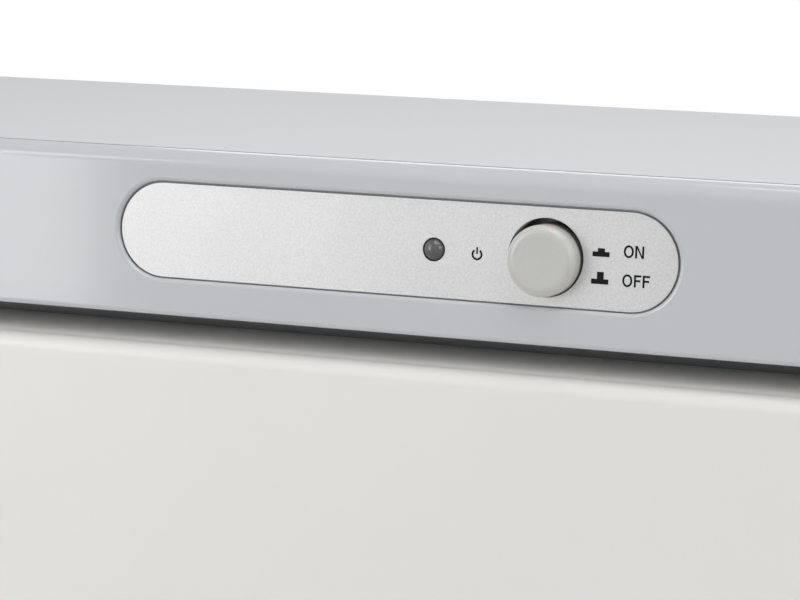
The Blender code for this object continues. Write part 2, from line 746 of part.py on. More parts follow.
def front_fascia():
    half = WIDTH / 2
    outline = rounded_rectangle((-half, half), (FASCIA_BOTTOM, HEIGHT), 0, WRAP_BEND)
    fascia = extruded("front_fascia", outline, "Y", depth(0), depth(FASCIA_BACK))
    front = depth(0)
    top_edge = ((front, HEIGHT), FASCIA_TOP_ROUND, (-1, 1), -WIDTH, WIDTH)
    low_edge = ((front, FASCIA_BOTTOM), FASCIA_BOTTOM_ROUND, (-1, -1), -WIDTH, WIDTH)
    cut(fascia, corner_cutter("fascia_top_edge", "X", *top_edge))
    cut(fascia, corner_cutter("fascia_low_edge", "X", *low_edge))
    for name, sign in SIDES:
        plan = ((sign * half, front), FASCIA_TOP_ROUND, (sign, -1), 0, 2 * HEIGHT)
        cut(fascia, corner_cutter(f"fascia_edge_{name}", "Z", *plan))
    cut(fascia, fascia_rebate())
    cut(fascia, fascia_pocket(), panel_recess(), button_hole("fascia"), led_hole("fascia"))
    for name, x in bracket_screw_places().items():
        start = SWITCH_STANDOFF + BRACKET_THICK + FIT_GAP - BRACKET_SCREW_LENGTH - SHEET
        ends = [(x, depth(d), BUTTON_Z) for d in (start, SWITCH_STANDOFF + SHEET)]
        cut(fascia, bracket_screw_hole(f"fascia_pilot_{name}", *ends))
    return add(fascia, "fascia_grey")


def bracket_screw_hole(name, start, end):
    return rod(name, "Y", start, end, BRACKET_SCREW_RADIUS + SCREW_CLEARANCE, ROUND_SIDES // 2)


def panel_recess():
    """The stadium pocket with its rim rolled in."""
    mouth = 2 * PANEL_RIM_ROUND
    rings = [(stadium(PANEL_LENGTH + mouth, PANEL_HEIGHT + mouth), -PANEL_RIM_ROUND)]
    for i in range(RIM_STEPS + 1):
        turn = math.pi / 2 * i / RIM_STEPS
        grow = mouth * (1 - math.sin(turn))
        set_in = PANEL_RIM_ROUND * (1 - math.cos(turn))
        rings.append((stadium(PANEL_LENGTH + grow, PANEL_HEIGHT + grow), set_in))
    rings.append((stadium(PANEL_LENGTH, PANEL_HEIGHT), PANEL_RECESS))
    return lofted("panel_recess", rings)


def button_hole(owner):
    ends = [(BUTTON_X, depth(d), BUTTON_HOLE_Z) for d in (-FASCIA_FRONT_WALL, FASCIA_FRONT_WALL + SHEET)]
    return rod(f"{owner}_button_hole", "Y", *ends, BUTTON_HOLE_RADIUS, BUTTON_SIDES)


def led_hole(owner):
    z = PANEL_Z - LED_DROP
    ends = [(LED_X, depth(d), z) for d in (-FASCIA_FRONT_WALL, FASCIA_FRONT_WALL + SHEET)]
    return rod(f"{owner}_led_hole", "Y", *ends, LED_RADIUS + LED_CLEARANCE)


def control_plate():
    outline = stadium(PANEL_LENGTH - 2 * PLATE_EDGE_GAP, PANEL_HEIGHT - 2 * PLATE_EDGE_GAP)
    plate = extruded("control_plate", outline, "Y", depth(PLATE_FACE), depth(PLATE_FACE + PLATE_THICK))
    cut(plate, button_hole("plate"), led_hole("plate"))
    return add(plate, "satin_silver")


def power_button():
    slide = joint_empty("button_slide", (BUTTON_X, depth(PLATE_FACE), BUTTON_Z))
    inner = BUTTON_RADIUS - BUTTON_WALL
    stem_end = SWITCH_FRONT + BUTTON_STANDS + STEM_REACH
    rim = arc((BUTTON_RADIUS - BUTTON_EDGE_ROUND, -BUTTON_EDGE_ROUND), BUTTON_EDGE_ROUND, 90, 0)
    profile = [(0, 0), *rim, (BUTTON_RADIUS, -BUTTON_SKIRT), (inner, -BUTTON_SKIRT), (inner, -BUTTON_FACE)]
    profile += [(STEM_RADIUS, -BUTTON_FACE), (STEM_RADIUS, -stem_end), (0, -stem_end)]
    cap = turned("power_button", profile, (BUTTON_X, depth(-BUTTON_STANDS), BUTTON_Z), BUTTON_SIDES)
    cap.rotation_euler = FACING_FRONT
    add(cap, "button_grey", slide)
    switch_spring(slide)


def switch_spring(slide):
    """The button's return coil, from the switch body to the inside of the cap."""
    start = depth(BUTTON_FACE - BUTTON_STANDS + FIT_GAP + SPRING_WIRE)
    end = depth(SWITCH_FRONT - FIT_GAP - SPRING_WIRE)
    count = SPRING_TURNS * SPRING_STEPS
    points = []
    for i in range(count + 1):
        angle = 2 * math.pi * i / SPRING_STEPS
        y = start + (end - start) * i / count
        x = BUTTON_X + SPRING_RADIUS * math.cos(angle)
        points.append((x, y, BUTTON_Z + SPRING_RADIUS * math.sin(angle)))
    pitch = (end - start) / SPRING_TURNS
    print(f"switch_spring: least gap between turns {(pitch - 2 * SPRING_WIRE) / MM:.2f} mm")
    spring = bpy.data.objects.new("switch_spring", tube_curve("switch_spring", points, SPRING_WIRE, 1))
    add(spring, "steel", slide)


def switch_parts():
    x = about(BUTTON_X, SWITCH_SIDE)
    z = about(BUTTON_Z, SWITCH_SIDE)
    body = box("switch_body", x, depths(SWITCH_FRONT, SWITCH_FRONT + SWITCH_DEPTH), z)
    bore_end = SWITCH_FRONT + STEM_REACH + BUTTON_TRAVEL + SHEET
    bore_ends = [(BUTTON_X, depth(d), BUTTON_Z) for d in (SWITCH_FRONT - SHEET, bore_end)]
    cut(body, rod("switch_bore", "Y", *bore_ends, STEM_RADIUS + STEM_CLEARANCE))
    for name, sign in SIDES:
        tab_x = about(BUTTON_X + sign * SWITCH_SIDE / 4, SHEET)
        tab_y = depths(SWITCH_FRONT + SWITCH_DEPTH - SHEET, SWITCH_FRONT + SWITCH_DEPTH + SWITCH_TAB)
        join(body, box(f"switch_tab_{name}", tab_x, tab_y, about(BUTTON_Z, SWITCH_TAB)))
    add(body, "black_plastic")
    bracket_width = BRACKET_SCREW_SPACING + 2 * BRACKET_MARGIN
    bracket_y = depths(SWITCH_STANDOFF, SWITCH_STANDOFF + BRACKET_THICK)
    bracket_x = about(BUTTON_X, bracket_width)
    bracket = box("switch_bracket", bracket_x, bracket_y, about(BUTTON_Z, BRACKET_HEIGHT))
    reach = depths(SWITCH_STANDOFF - SHEET, SWITCH_FRONT + SHEET)
    centre = [(BUTTON_X, y, BUTTON_Z) for y in reach]
    cut(bracket, rod("bracket_stem_hole", "Y", *centre, BRACKET_HOLE_RADIUS))
    for name, screw_x in bracket_screw_places().items():
        ends = [(screw_x, y, BUTTON_Z) for y in reach]
        cut(bracket, bracket_screw_hole(f"bracket_hole_{name}", *ends))
        place = (screw_x, bracket_y[1] + FIT_GAP, BUTTON_Z)
        screw(
            f"bracket_screw_{name}", place, FACING_BACK,
            BRACKET_SCREW_RADIUS, BRACKET_SCREW_LENGTH, BRACKET_SCREW_HEAD_RADIUS, BRACKET_SCREW_HEAD,
        )
    add(bracket, "steel")


def led_parts():
    z = PANEL_Z - LED_DROP
    tip = PLATE_FACE - LED_PROUD
    dome = arc((0, -LED_RADIUS), LED_RADIUS, 90, 0)
    back = LED_LENGTH
    profile = [*dome, (LED_RADIUS, LED_FLANGE - back), (LED_FLANGE_RADIUS, LED_FLANGE - back)]
    profile += [(LED_FLANGE_RADIUS, -back), (0, -back)]
    lamp = turned("led_lamp", profile, (LED_X, depth(tip), z), ROUND_SIDES)
    lamp.rotation_euler = FACING_FRONT
    add(lamp, "smoked_lens")
    front = FASCIA_FRONT_WALL + FIT_GAP
    rear = tip + LED_LENGTH - LED_FLANGE - FIT_GAP
    ends = [(LED_X, depth(d), z) for d in (front, rear)]
    retainer = rod("led_retainer", "Y", *ends, LED_RETAINER_RADIUS)
    bore = [(LED_X, depth(d), z) for d in (front - SHEET, rear + SHEET)]
    cut(retainer, rod("retainer_bore", "Y", *bore, LED_RADIUS + LED_CLEARANCE))
    add(retainer, "black_plastic")


# Door
def door_outline():
    """The door's outer section in depth and height."""
    low = (depth(HINGE_INSET), HINGE_Z)
    high = (depth(DOOR_EDGE_ROUND), DOOR_TOP - DOOR_EDGE_ROUND)
    outline = [(depth(DOOR_THICK), DOOR_BOTTOM), *arc(low, HINGE_INSET, 270, 180)]
    outline += arc(high, DOOR_EDGE_ROUND, 180, 90)
    run = DOOR_LIP - DOOR_EDGE_ROUND
    for i in range(1, ARC_STEPS + 1):
        turn = math.pi / 2 * i / ARC_STEPS
        outline.append((depth(DOOR_LIP - run * math.cos(turn)), DOOR_TOP + DOOR_LIP_RISE * math.sin(turn)))
    return outline + [(depth(DOOR_THICK), DOOR_LIP_TOP)]


def liner_screw_places():
    x = WIDTH / 2 - LINER_SCREW_SIDE_INSET
    low = DOOR_BOTTOM + LINER_SCREW_LOW
    high = LINER_TOP - LINER_SCREW_HIGH
    return {"low_left": (-x, low), "low_right": (x, low), "high_left": (-x, high), "high_right": (x, high)}


def liner_screw_hole(name, x, z, start):
    ends = [(x, depth(d), z) for d in (start, DOOR_THICK + SHEET)]
    return rod(name, "Y", *ends, LINER_SCREW_RADIUS + SCREW_CLEARANCE, ROUND_SIDES // 2)


def door_pocket():
    """The hollow behind the door's front, with the finger groove, the hinge blocks and the screw bosses."""
    half = WIDTH / 2 - DOOR_WALL
    beyond = depth(DOOR_THICK + SHEET)
    lip = depth(DOOR_LIP)
    lip_return = depth(DOOR_LIP - DOOR_WALL)
    inside = depth(DOOR_WALL)
    section = [(inside, DOOR_BOTTOM + DOOR_WALL), (beyond, DOOR_BOTTOM + DOOR_WALL)]
    section += [(beyond, DOOR_LIP_TOP + SHEET), (lip, DOOR_LIP_TOP + SHEET)]
    section += [(lip, DOOR_TOP - LIP_RETURN), (lip_return, DOOR_TOP - LIP_RETURN)]
    section += [(lip_return, DOOR_LIP_TOP - DOOR_WALL), (inside, DOOR_TOP - DOOR_WALL)]
    pocket = extruded("door_pocket", section, "X", -half, half)
    for name, sign in SIDES:
        block_x = side_span(sign, BLOCK_INNER, WIDTH)
        cut(pocket, box(f"door_block_{name}", block_x, depths(0, 2 * DOOR_THICK), (0, BLOCK_TOP)))
    for name, (x, z) in liner_screw_places().items():
        ends = [(x, depth(d), z) for d in (0, LINER_FRONT - FIT_GAP)]
        cut(pocket, rod(f"door_boss_{name}", "Y", *ends, LINER_BOSS_RADIUS, ROUND_SIDES // 2))
    return pocket


def door_shell(hinge):
    half = WIDTH / 2
    shell = extruded("door_shell", door_outline(), "X", -half, half)
    for name, sign in SIDES:
        plan = ((sign * half, depth(0)), DOOR_EDGE_ROUND, (sign, -1), 0, HEIGHT)
        cut(shell, corner_cutter(f"door_edge_{name}", "Z", *plan))
    cut(shell, door_pocket())
    for name, sign in SIDES:
        notch_x = side_span(sign, NOTCH_INNER, WIDTH)
        cut(shell, box(f"door_notch_{name}", notch_x, depths(-SHEET, DOOR_THICK + SHEET), (0, NOTCH_TOP)))
        bore_x = (sign * (NOTCH_INNER - HINGE_PIN_IN_DOOR - FIT_GAP), sign * WIDTH / 2)
        ends = [(x, depth(HINGE_INSET), HINGE_Z) for x in sorted(bore_x)]
        cut(shell, rod(f"door_pin_bore_{name}", "X", *ends, HINGE_PIN_RADIUS + HINGE_CLEARANCE))
    for name, (x, z) in liner_screw_places().items():
        pilot = DOOR_THICK + FIT_GAP - LINER_SCREW_LENGTH - SHEET
        cut(shell, liner_screw_hole(f"door_pilot_{name}", x, z, pilot))
    return add(shell, "door_white", hinge)


def door_liner(hinge):
    half = LINER_HALF
    liner = box("door_liner", (-half, half), depths(LINER_FRONT, DOOR_THICK), (LINER_BOTTOM, LINER_TOP))
    flange_y = depths(DOOR_THICK - LINER_FLANGE - LINER_THICK, DOOR_THICK - LINER_THICK / 2)
    join(liner, box("liner_flange", (-half, half), flange_y, (LINER_TOP - GROOVE_FLOOR, LINER_TOP)))
    for name, sign in SIDES:
        corner_x = side_span(sign, BLOCK_INNER - FIT_GAP, WIDTH)
        corner_y = depths(0, 2 * DOOR_THICK)
        cut(liner, box(f"liner_corner_{name}", corner_x, corner_y, (0, BLOCK_TOP + FIT_GAP)))
    for name, (x, z) in liner_screw_places().items():
        cut(liner, liner_screw_hole(f"liner_hole_{name}", x, z, LINER_FRONT - SHEET))
        place = (x, depth(DOOR_THICK + FIT_GAP), z)
        screw(
            f"liner_screw_{name}", place, FACING_BACK,
            LINER_SCREW_RADIUS, LINER_SCREW_LENGTH, LINER_SCREW_HEAD_RADIUS, LINER_SCREW_HEAD, parent=hinge,
        )
    return add(liner, "frame_white", hinge)


def door_fill(hinge):
    half = WIDTH / 2 - DOOR_SLAB_MARGIN
    slab_z = (BLOCK_TOP + FIT_GAP, LINER_TOP - GROOVE_FLOOR - FIT_GAP)
    slab = box("door_insulation", (-half, half), depths(DOOR_WALL + FIT_GAP, LINER_FRONT - FIT_GAP), slab_z)
    add(slab, "foam", hinge)


def door_gasket(hinge):
    inner = CHAMBER_WIDTH / 2 + GASKET_MARGIN
    outer = inner + GASKET_WIDTH
    low = CHAMBER_FLOOR - GASKET_MARGIN
    high = CHAMBER_TOP + GASKET_MARGIN
    front = DOOR_THICK + FIT_GAP
    back = front + GASKET_THICK
    corner = CHAMBER_CORNER + GASKET_WIDTH
    outline = rounded_rectangle((-outer, outer), (low - GASKET_WIDTH, high + GASKET_WIDTH), corner, corner)
    ring = extruded("door_gasket", outline, "Y", depth(front), depth(back))
    hole = rounded_rectangle((-inner, inner), (low, high), CHAMBER_CORNER, CHAMBER_CORNER)
    cut(ring, extruded("gasket_hole", hole, "Y", depth(front - SHEET), depth(back + SHEET)))
    return add(ring, "silicone", hinge)


def catches(hinge):
    """A steel strike on the door's liner and a magnet in the frame, on each side."""
    z = about(CATCH_Z, STRIKE_HEIGHT)
    strike_front = DOOR_THICK + FIT_GAP
    strike_back = strike_front + STRIKE_THICK
    for name, sign in SIDES:
        centre = sign * (WIDTH / 2 - CATCH_SIDE_INSET)
        add(
            box(f"strike_plate_{name}", about(centre, STRIKE_WIDTH), depths(strike_front, strike_back), z),
            "steel", hinge,
        )
        flange_y = depths(strike_back + FIT_GAP, FRAME_FRONT - FIT_GAP)
        magnet = box(f"magnet_catch_{name}", about(centre, STRIKE_WIDTH), flange_y, z)
        body_y = depths(FRAME_FRONT - 2 * FIT_GAP, FRAME_FRONT + CATCH_BODY_DEPTH)
        body_z = about(CATCH_Z, CATCH_BODY_HEIGHT)
        join(magnet, box(f"magnet_body_{name}", about(centre, CATCH_BODY_WIDTH), body_y, body_z))
        add(magnet, "black_plastic")


def hinges():
    for name, sign in SIDES:
        ear = (depth(HINGE_INSET), HINGE_Z)
        back = depth(FRAME_FRONT - FIT_GAP)
        front = depth(HINGE_INSET - CHEEK_ROUND)
        outline = [(back, TRAY_BOTTOM), (back, HINGE_Z + CHEEK_ROUND), *arc(ear, CHEEK_ROUND, 90, 180)]
        outline += [(front, TRAY_BOTTOM)]
        cheek_x = side_span(sign, CHEEK_INNER, CHEEK_OUTER)
        cheek = extruded(f"hinge_cheek_{name}", outline, "X", *cheek_x)
        pin_inner = sign * (NOTCH_INNER - HINGE_PIN_IN_DOOR)
        pin_outer = sign * CHEEK_OUTER
        bore = [(x, depth(HINGE_INSET), HINGE_Z) for x in sorted((pin_inner, sign * WIDTH))]
        cut(cheek, rod(f"cheek_bore_{name}", "X", *bore, HINGE_PIN_RADIUS + HINGE_CLEARANCE))
        add(cheek, "frame_white")
        ends = [(x, depth(HINGE_INSET), HINGE_Z) for x in sorted((pin_inner, pin_outer))]
        add(rod(f"hinge_pin_{name}", "X", *ends, HINGE_PIN_RADIUS), "steel")


def door():
    hinge = joint_empty("door_hinge", (0, depth(HINGE_INSET), HINGE_Z))
    door_shell(hinge)
    door_liner(hinge)
    door_fill(hinge)
    door_gasket(hinge)
    catches(hinge)


# Chamber
def chamber_outline(grow, below=None):
    """The chamber's rounded mouth, grown on every side."""
    half = CHAMBER_WIDTH / 2 + grow
    low = CHAMBER_FLOOR - grow if below is None else below
    corner = CHAMBER_CORNER + grow
    return rounded_rectangle((-half, half), (low, CHAMBER_TOP + grow), corner, corner)


def front_frame():
    half = INSIDE_HALF
    frame_z = (SILL, FASCIA_BOTTOM + FRAME_LAP)
    frame = box("front_frame", (-half, half), depths(FRAME_FRONT, FRAME_BACK), frame_z)
    through = depths(FRAME_FRONT - SHEET, FRAME_BACK + SHEET)
    cut(frame, extruded("frame_mouth", chamber_outline(0), "Y", *through))
    pocket_z = about(CATCH_Z, CATCH_BODY_HEIGHT + 2 * FIT_GAP)
    for name, sign in SIDES:
        pocket_x = about(sign * (WIDTH / 2 - CATCH_SIDE_INSET), CATCH_BODY_WIDTH + 2 * FIT_GAP)
        cut(frame, box(f"frame_pocket_{name}", pocket_x, through, pocket_z))
    return add(frame, "frame_grey")


def inner_chamber():
    tank_y = depths(CHAMBER_FRONT, TANK_BACK)
    rim_y = depths(CHAMBER_FRONT, CHAMBER_FRONT + CHAMBER_WALL)
    inside_y = depths(CHAMBER_FRONT - SHEET, CHAMBER_BACK)
    tank = extruded("inner_chamber", chamber_outline(CHAMBER_WALL), "Y", *tank_y)
    join(tank, extruded("chamber_rim", chamber_outline(CHAMBER_FLANGE), "Y", *rim_y))
    cut(tank, extruded("chamber_inside", chamber_outline(0), "Y", *inside_y))
    return add(tank, "aluminium")


def insulation():
    front = CHAMBER_FRONT + CHAMBER_WALL + FIT_GAP
    shell = FIT_GAP + CHAMBER_WALL
    outer = chamber_outline(shell + INSULATION, INSULATION_BOTTOM)
    jacket = extruded("chamber_insulation", outer, "Y", depth(front), depth(INSULATION_BACK))
    inner = chamber_outline(shell, INSULATION_IN_BOTTOM)
    cut(jacket, extruded("jacket_inside", inner, "Y", depth(front - SHEET), depth(TANK_BACK + FIT_GAP)))
    through = depths(TANK_BACK - SHEET, INSULATION_BACK + SHEET)
    window_x = (
        THERMOSTAT_X - THERMOSTAT_RADIUS - SENSOR_WINDOW,
        FUSE_X + FUSE_LENGTH / 2 + FUSE_LEAD + SENSOR_WINDOW,
    )
    window_z = about(SENSOR_Z, 2 * (THERMOSTAT_RADIUS + SENSOR_WINDOW))
    cut(jacket, box("jacket_sensor_window", window_x, through, window_z))
    slot_z = (HEATER_TOP - LEAD_SLOT / 2, HEATER_TOP + 2 * LEAD_SLOT)
    slot_y = depths(CHAMBER_BACK - HEATER_MARGIN - SHEET, INSULATION_BACK + SHEET)
    cut(jacket, box("jacket_lead_slot", about(LEAD_X, LEAD_SLOT), slot_y, slot_z))
    add(jacket, "wool")
    shield_y = depths(front, INSULATION_BACK)
    shield = box("heat_shield", (-INSULATION_HALF, INSULATION_HALF), shield_y, (SHIELD_BOTTOM, SHIELD_TOP))
    add(shield, "steel")


def heater_parts():
    half = CHAMBER_WIDTH / 2 - HEATER_MARGIN
    mat_y = depths(CHAMBER_FRONT + HEATER_MARGIN, CHAMBER_BACK - HEATER_MARGIN)
    add(box("heater_mat", (-half, half), mat_y, (HEATER_TOP - HEATER_THICK, HEATER_TOP)), "heater_red")
    seat = TANK_BACK + FIT_GAP
    z = SENSOR_Z
    ends = [(THERMOSTAT_X, depth(d), z) for d in (seat, seat + THERMOSTAT_DEPTH)]
    thermostat = rod("thermostat", "Y", *ends, THERMOSTAT_RADIUS)
    for name, sign in SIDES:
        tab_x = about(THERMOSTAT_X + sign * THERMOSTAT_RADIUS / 2, SHEET)
        tab_y = depths(seat + THERMOSTAT_DEPTH - SHEET, seat + THERMOSTAT_DEPTH + THERMOSTAT_TAB)
        join(thermostat, box(f"thermostat_tab_{name}", tab_x, tab_y, about(z, 2 * THERMOSTAT_TAB)))
    add(thermostat, "black_plastic")
    fuse_y = depth(seat + FUSE_RADIUS)
    half_fuse = FUSE_LENGTH / 2
    fuse_ends = [(FUSE_X + end, fuse_y, z) for end in (-half_fuse, half_fuse)]
    fuse = rod("thermal_fuse", "X", *fuse_ends, FUSE_RADIUS, 2 * WIRE_SIDES)
    reach = half_fuse + FUSE_LEAD
    lead_ends = [(FUSE_X + end, fuse_y, z) for end in (-reach, reach)]
    lead = rod("fuse_lead", "X", *lead_ends, FUSE_LEAD_RADIUS, WIRE_SIDES)
    add(join(fuse, lead), "steel")


def wire_rack():
    """Bent rails along the sides with straight wires across them, welded into one piece."""
    x = CHAMBER_WIDTH / 2 - RACK_SIDE_MARGIN
    foot_z = CHAMBER_FLOOR + FIT_GAP
    rail_z = CHAMBER_FLOOR + RACK_RISE
    front = depth(CHAMBER_FRONT + RACK_END_MARGIN)
    back = depth(CHAMBER_BACK - RACK_END_MARGIN)
    front_bend = arc((front + RACK_BEND, rail_z - RACK_BEND), RACK_BEND, 180, 90, RACK_BEND_STEPS)
    back_bend = arc((back - RACK_BEND, rail_z - RACK_BEND), RACK_BEND, 90, 0, RACK_BEND_STEPS)
    path = [(front, foot_z), *front_bend, *back_bend, (back, foot_z)]
    rails = []
    for name, sign in SIDES:
        points = [(sign * x, y, z) for y, z in path]
        curve = tube_curve(f"rack_rail_{name}", points, RACK_RAIL_RADIUS, 2)
        rails.append(mesh_of_curve(f"rack_rail_{name}", curve, Matrix()))
    rack = rails[0]
    rack.name = "wire_rack"
    join(rack, rails[1])
    wire_z = rail_z + RACK_RAIL_RADIUS + RACK_WIRE - RACK_BITE
    reach = x + RACK_OVERHANG
    first = front + 2 * RACK_BEND
    last = back - 2 * RACK_BEND
    for i in range(RACK_WIRES):
        y = first + (last - first) * i / (RACK_WIRES - 1)
        join(rack, rod(f"rack_wire_{i}", "X", (-reach, y, wire_z), (reach, y, wire_z), RACK_WIRE, WIRE_SIDES))
    return add(rack, "steel")


# Drip tray
def drip_tray():
    slide = joint_empty("tray_slide", (0, depth(TRAY_FRONT), TRAY_BOTTOM))
    half = TRAY_HALF
    body_y = depths(TRAY_FRONT + TRAY_FACE_THICK / 2, TRAY_BACK)
    tray = box("drip_tray", (-half, half), body_y, (TRAY_BOTTOM, TRAY_BOTTOM + TRAY_HEIGHT))
    face_half = CHEEK_INNER - TRAY_SIDE_GAP
    face_y = depths(TRAY_FRONT, TRAY_FRONT + TRAY_FACE_THICK)
    face_z = (TRAY_BOTTOM, TRAY_BOTTOM + TRAY_FACE_HEIGHT)
    join(tray, box("tray_face", (-face_half, face_half), face_y, face_z))
    inner = half - TRAY_WALL
    well_y = depths(TRAY_FRONT + TRAY_FACE_THICK, TRAY_BACK - TRAY_WALL)
    cut(tray, box("tray_well", (-inner, inner), well_y, (TRAY_BOTTOM + TRAY_WALL, HEIGHT)))
    add(tray, "frame_white", slide)
    guide_y = depths(FRAME_FRONT, BODY_DEPTH - GUIDE_REAR_INSET)
    guide_top = INSULATION_BOTTOM - FIT_GAP
    for name, sign in SIDES:
        guide_x = side_span(sign, half + TRAY_SIDE_GAP, INSIDE_HALF - SHEET - FIT_GAP)
        guide = box(f"tray_guide_{name}", guide_x, guide_y, (TRAY_BOTTOM, guide_top))
        relief_y = depths(FRAME_FRONT - SHEET, FRAME_BACK + CHAMBER_WALL + 2 * FIT_GAP)
        cut(guide, box(f"guide_relief_{name}", (-WIDTH, WIDTH), relief_y, (SILL - FIT_GAP, HEIGHT)))
        add(guide, "frame_white")


# Mains inlet and wiring
def inlet_screw_places():
    reach = INLET_SCREW_SPACING / 2
    return {"left": INLET_X - reach, "right": INLET_X + reach}


def inlet_screw_holes(owner):
    radius = INLET_SCREW_RADIUS + SCREW_CLEARANCE
    reach = depths(REAR_PANEL_FRONT - SHEET, BODY_DEPTH + INLET_FLANGE + SHEET)
    holes = []
    for name, x in inlet_screw_places().items():
        ends = [(x, y, INLET_Z) for y in reach]
        holes.append(rod(f"{owner}_inlet_hole_{name}", "Y", *ends, radius, ROUND_SIDES // 2))
    return holes


def power_inlet():
    flange_front = BODY_DEPTH + FIT_GAP
    flange_back = flange_front + INLET_FLANGE
    body_y = depths(flange_front - INLET_DEPTH, flange_back - INLET_FLANGE / 2)
    inlet = box("power_inlet", about(INLET_X, INLET_WIDTH), body_y, about(INLET_Z, INLET_HEIGHT))
    flange_x = about(INLET_X, INLET_FLANGE_WIDTH)
    flange_z = about(INLET_Z, INLET_HEIGHT + 4 * INLET_WALL)
    flange_outline = rounded_rectangle(flange_x, flange_z, INLET_WALL, INLET_WALL)
    join(inlet, extruded("inlet_flange", flange_outline, "Y", depth(flange_front), depth(flange_back)))
    socket_floor = flange_back - INLET_SOCKET
    socket_y = depths(socket_floor, flange_back + SHEET)
    socket_x = about(INLET_X, INLET_WIDTH - 2 * INLET_WALL)
    socket_z = about(INLET_Z, INLET_HEIGHT - 2 * INLET_WALL)
    cut(inlet, box("inlet_socket", socket_x, socket_y, socket_z), *inlet_screw_holes("inlet"))
    pins = (("left", -INLET_PIN_SPACING, 0), ("earth", 0, INLET_EARTH_RISE), ("right", INLET_PIN_SPACING, 0))
    for name, across, rise in pins:
        pin_x = about(INLET_X + across, INLET_PIN_THICK)
        pin_y = depths(socket_floor - INLET_WALL / 2, socket_floor + INLET_PIN_LENGTH)
        join(inlet, box(f"inlet_pin_{name}", pin_x, pin_y, about(INLET_Z + rise, INLET_PIN_WIDTH)))
    add(inlet, "black_plastic")
    for name, x in inlet_screw_places().items():
        place = (x, depth(flange_back + FIT_GAP), INLET_Z)
        screw(
            f"inlet_screw_{name}", place, FACING_BACK,
            INLET_SCREW_RADIUS, INLET_SCREW_LENGTH, INLET_SCREW_HEAD_RADIUS, INLET_SCREW_HEAD,
        )


def wiring():
    low = SHIELD_TOP + FIT_GAP
    block_y = depths(BODY_DEPTH - TERMINAL_REAR_INSET - TERMINAL_DEPTH, BODY_DEPTH - TERMINAL_REAR_INSET)
    block_x = about(TERMINAL_X, TERMINAL_WIDTH)
    add(box("terminal_block", block_x, block_y, (low, low + TERMINAL_HEIGHT)), "frame_white")
    inlet_y = depth(BODY_DEPTH + FIT_GAP - INLET_DEPTH) - WIRE_END_GAP
    tab_y = depth(SWITCH_FRONT + SWITCH_DEPTH + SWITCH_TAB) + WIRE_END_GAP
    wire_z = low + WIRE_RADIUS + WIRE_LIFT
    block_z = low + TERMINAL_HEIGHT / 2
    block_middle = (block_y[0] + block_y[1]) / 2
    tab_x = BUTTON_X + SWITCH_SIDE / 4
    live = [
        (INLET_X - INLET_PIN_SPACING, inlet_y, INLET_Z),
        (INLET_X - INLET_PIN_SPACING, inlet_y - WIRE_STRAIGHT, INLET_Z),
        (INLET_X - WIRE_SWING, depth(BODY_DEPTH - WIRE_REAR_INSET), wire_z),
        (BUTTON_X + WIRE_SWING, depth(WIRE_FRONT_DEPTH), wire_z),
        (tab_x, tab_y + WIRE_STRAIGHT, BUTTON_Z),
        (tab_x, tab_y, BUTTON_Z),
    ]
    neutral = [
        (INLET_X + INLET_PIN_SPACING, inlet_y, INLET_Z),
        (INLET_X + INLET_PIN_SPACING, inlet_y - WIRE_STRAIGHT, INLET_Z),
        (INLET_X - WIRE_SWING, block_middle - WIRE_STRAIGHT, wire_z),
        (block_x[1] + WIRE_STRAIGHT, block_middle, block_z),
        (block_x[1] + WIRE_END_GAP, block_middle, block_z),
    ]
    climb = depth((INSULATION_BACK + FLANGE_FRONT) / 2)
    lead = [
        (LEAD_X, depth(CHAMBER_BACK - HEATER_MARGIN) + WIRE_END_GAP, HEATER_TOP - WIRE_RADIUS),
        (LEAD_X, depth(TANK_BACK), HEATER_TOP - WIRE_RADIUS),
        (LEAD_X, depth(INSULATION_BACK - WIRE_RADIUS), HEATER_TOP + LEAD_SLOT),
        (LEAD_X, climb, HEATER_TOP + 4 * LEAD_SLOT),
        (LEAD_X, climb, SHIELD_BOTTOM - LEAD_RISE),
        (LEAD_X + LEAD_LEAN, climb - LEAD_LEAN, SHIELD_TOP + LEAD_RISE),
        (TERMINAL_X, block_y[1] + WIRE_STRAIGHT, block_z),
        (TERMINAL_X, block_y[1] + WIRE_END_GAP, block_z),
    ]
    for name, route, material in (
        ("wire_live", live, "brown_wire"),
        ("wire_neutral", neutral, "blue_wire"),
        ("heater_lead", lead, "white_wire"),
    ):
        curve = tube_curve(name, smooth_route(route), WIRE_RADIUS, 2)
        add(bpy.data.objects.new(name, curve), material)


outer_wrap()
rear_panel()
base_pan()
front_fascia()
control_plate()
power_button()
switch_parts()
led_parts()
door()
hinges()
front_frame()
inner_chamber()
insulation()
heater_parts()
wire_rack()
drip_tray()
power_inlet()
wiring()
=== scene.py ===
"""Looks of the hot towel cabinet: finer shapes, finishes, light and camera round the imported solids."""

import json
import math

import bmesh
import bpy
from mathutils import Matrix, Vector

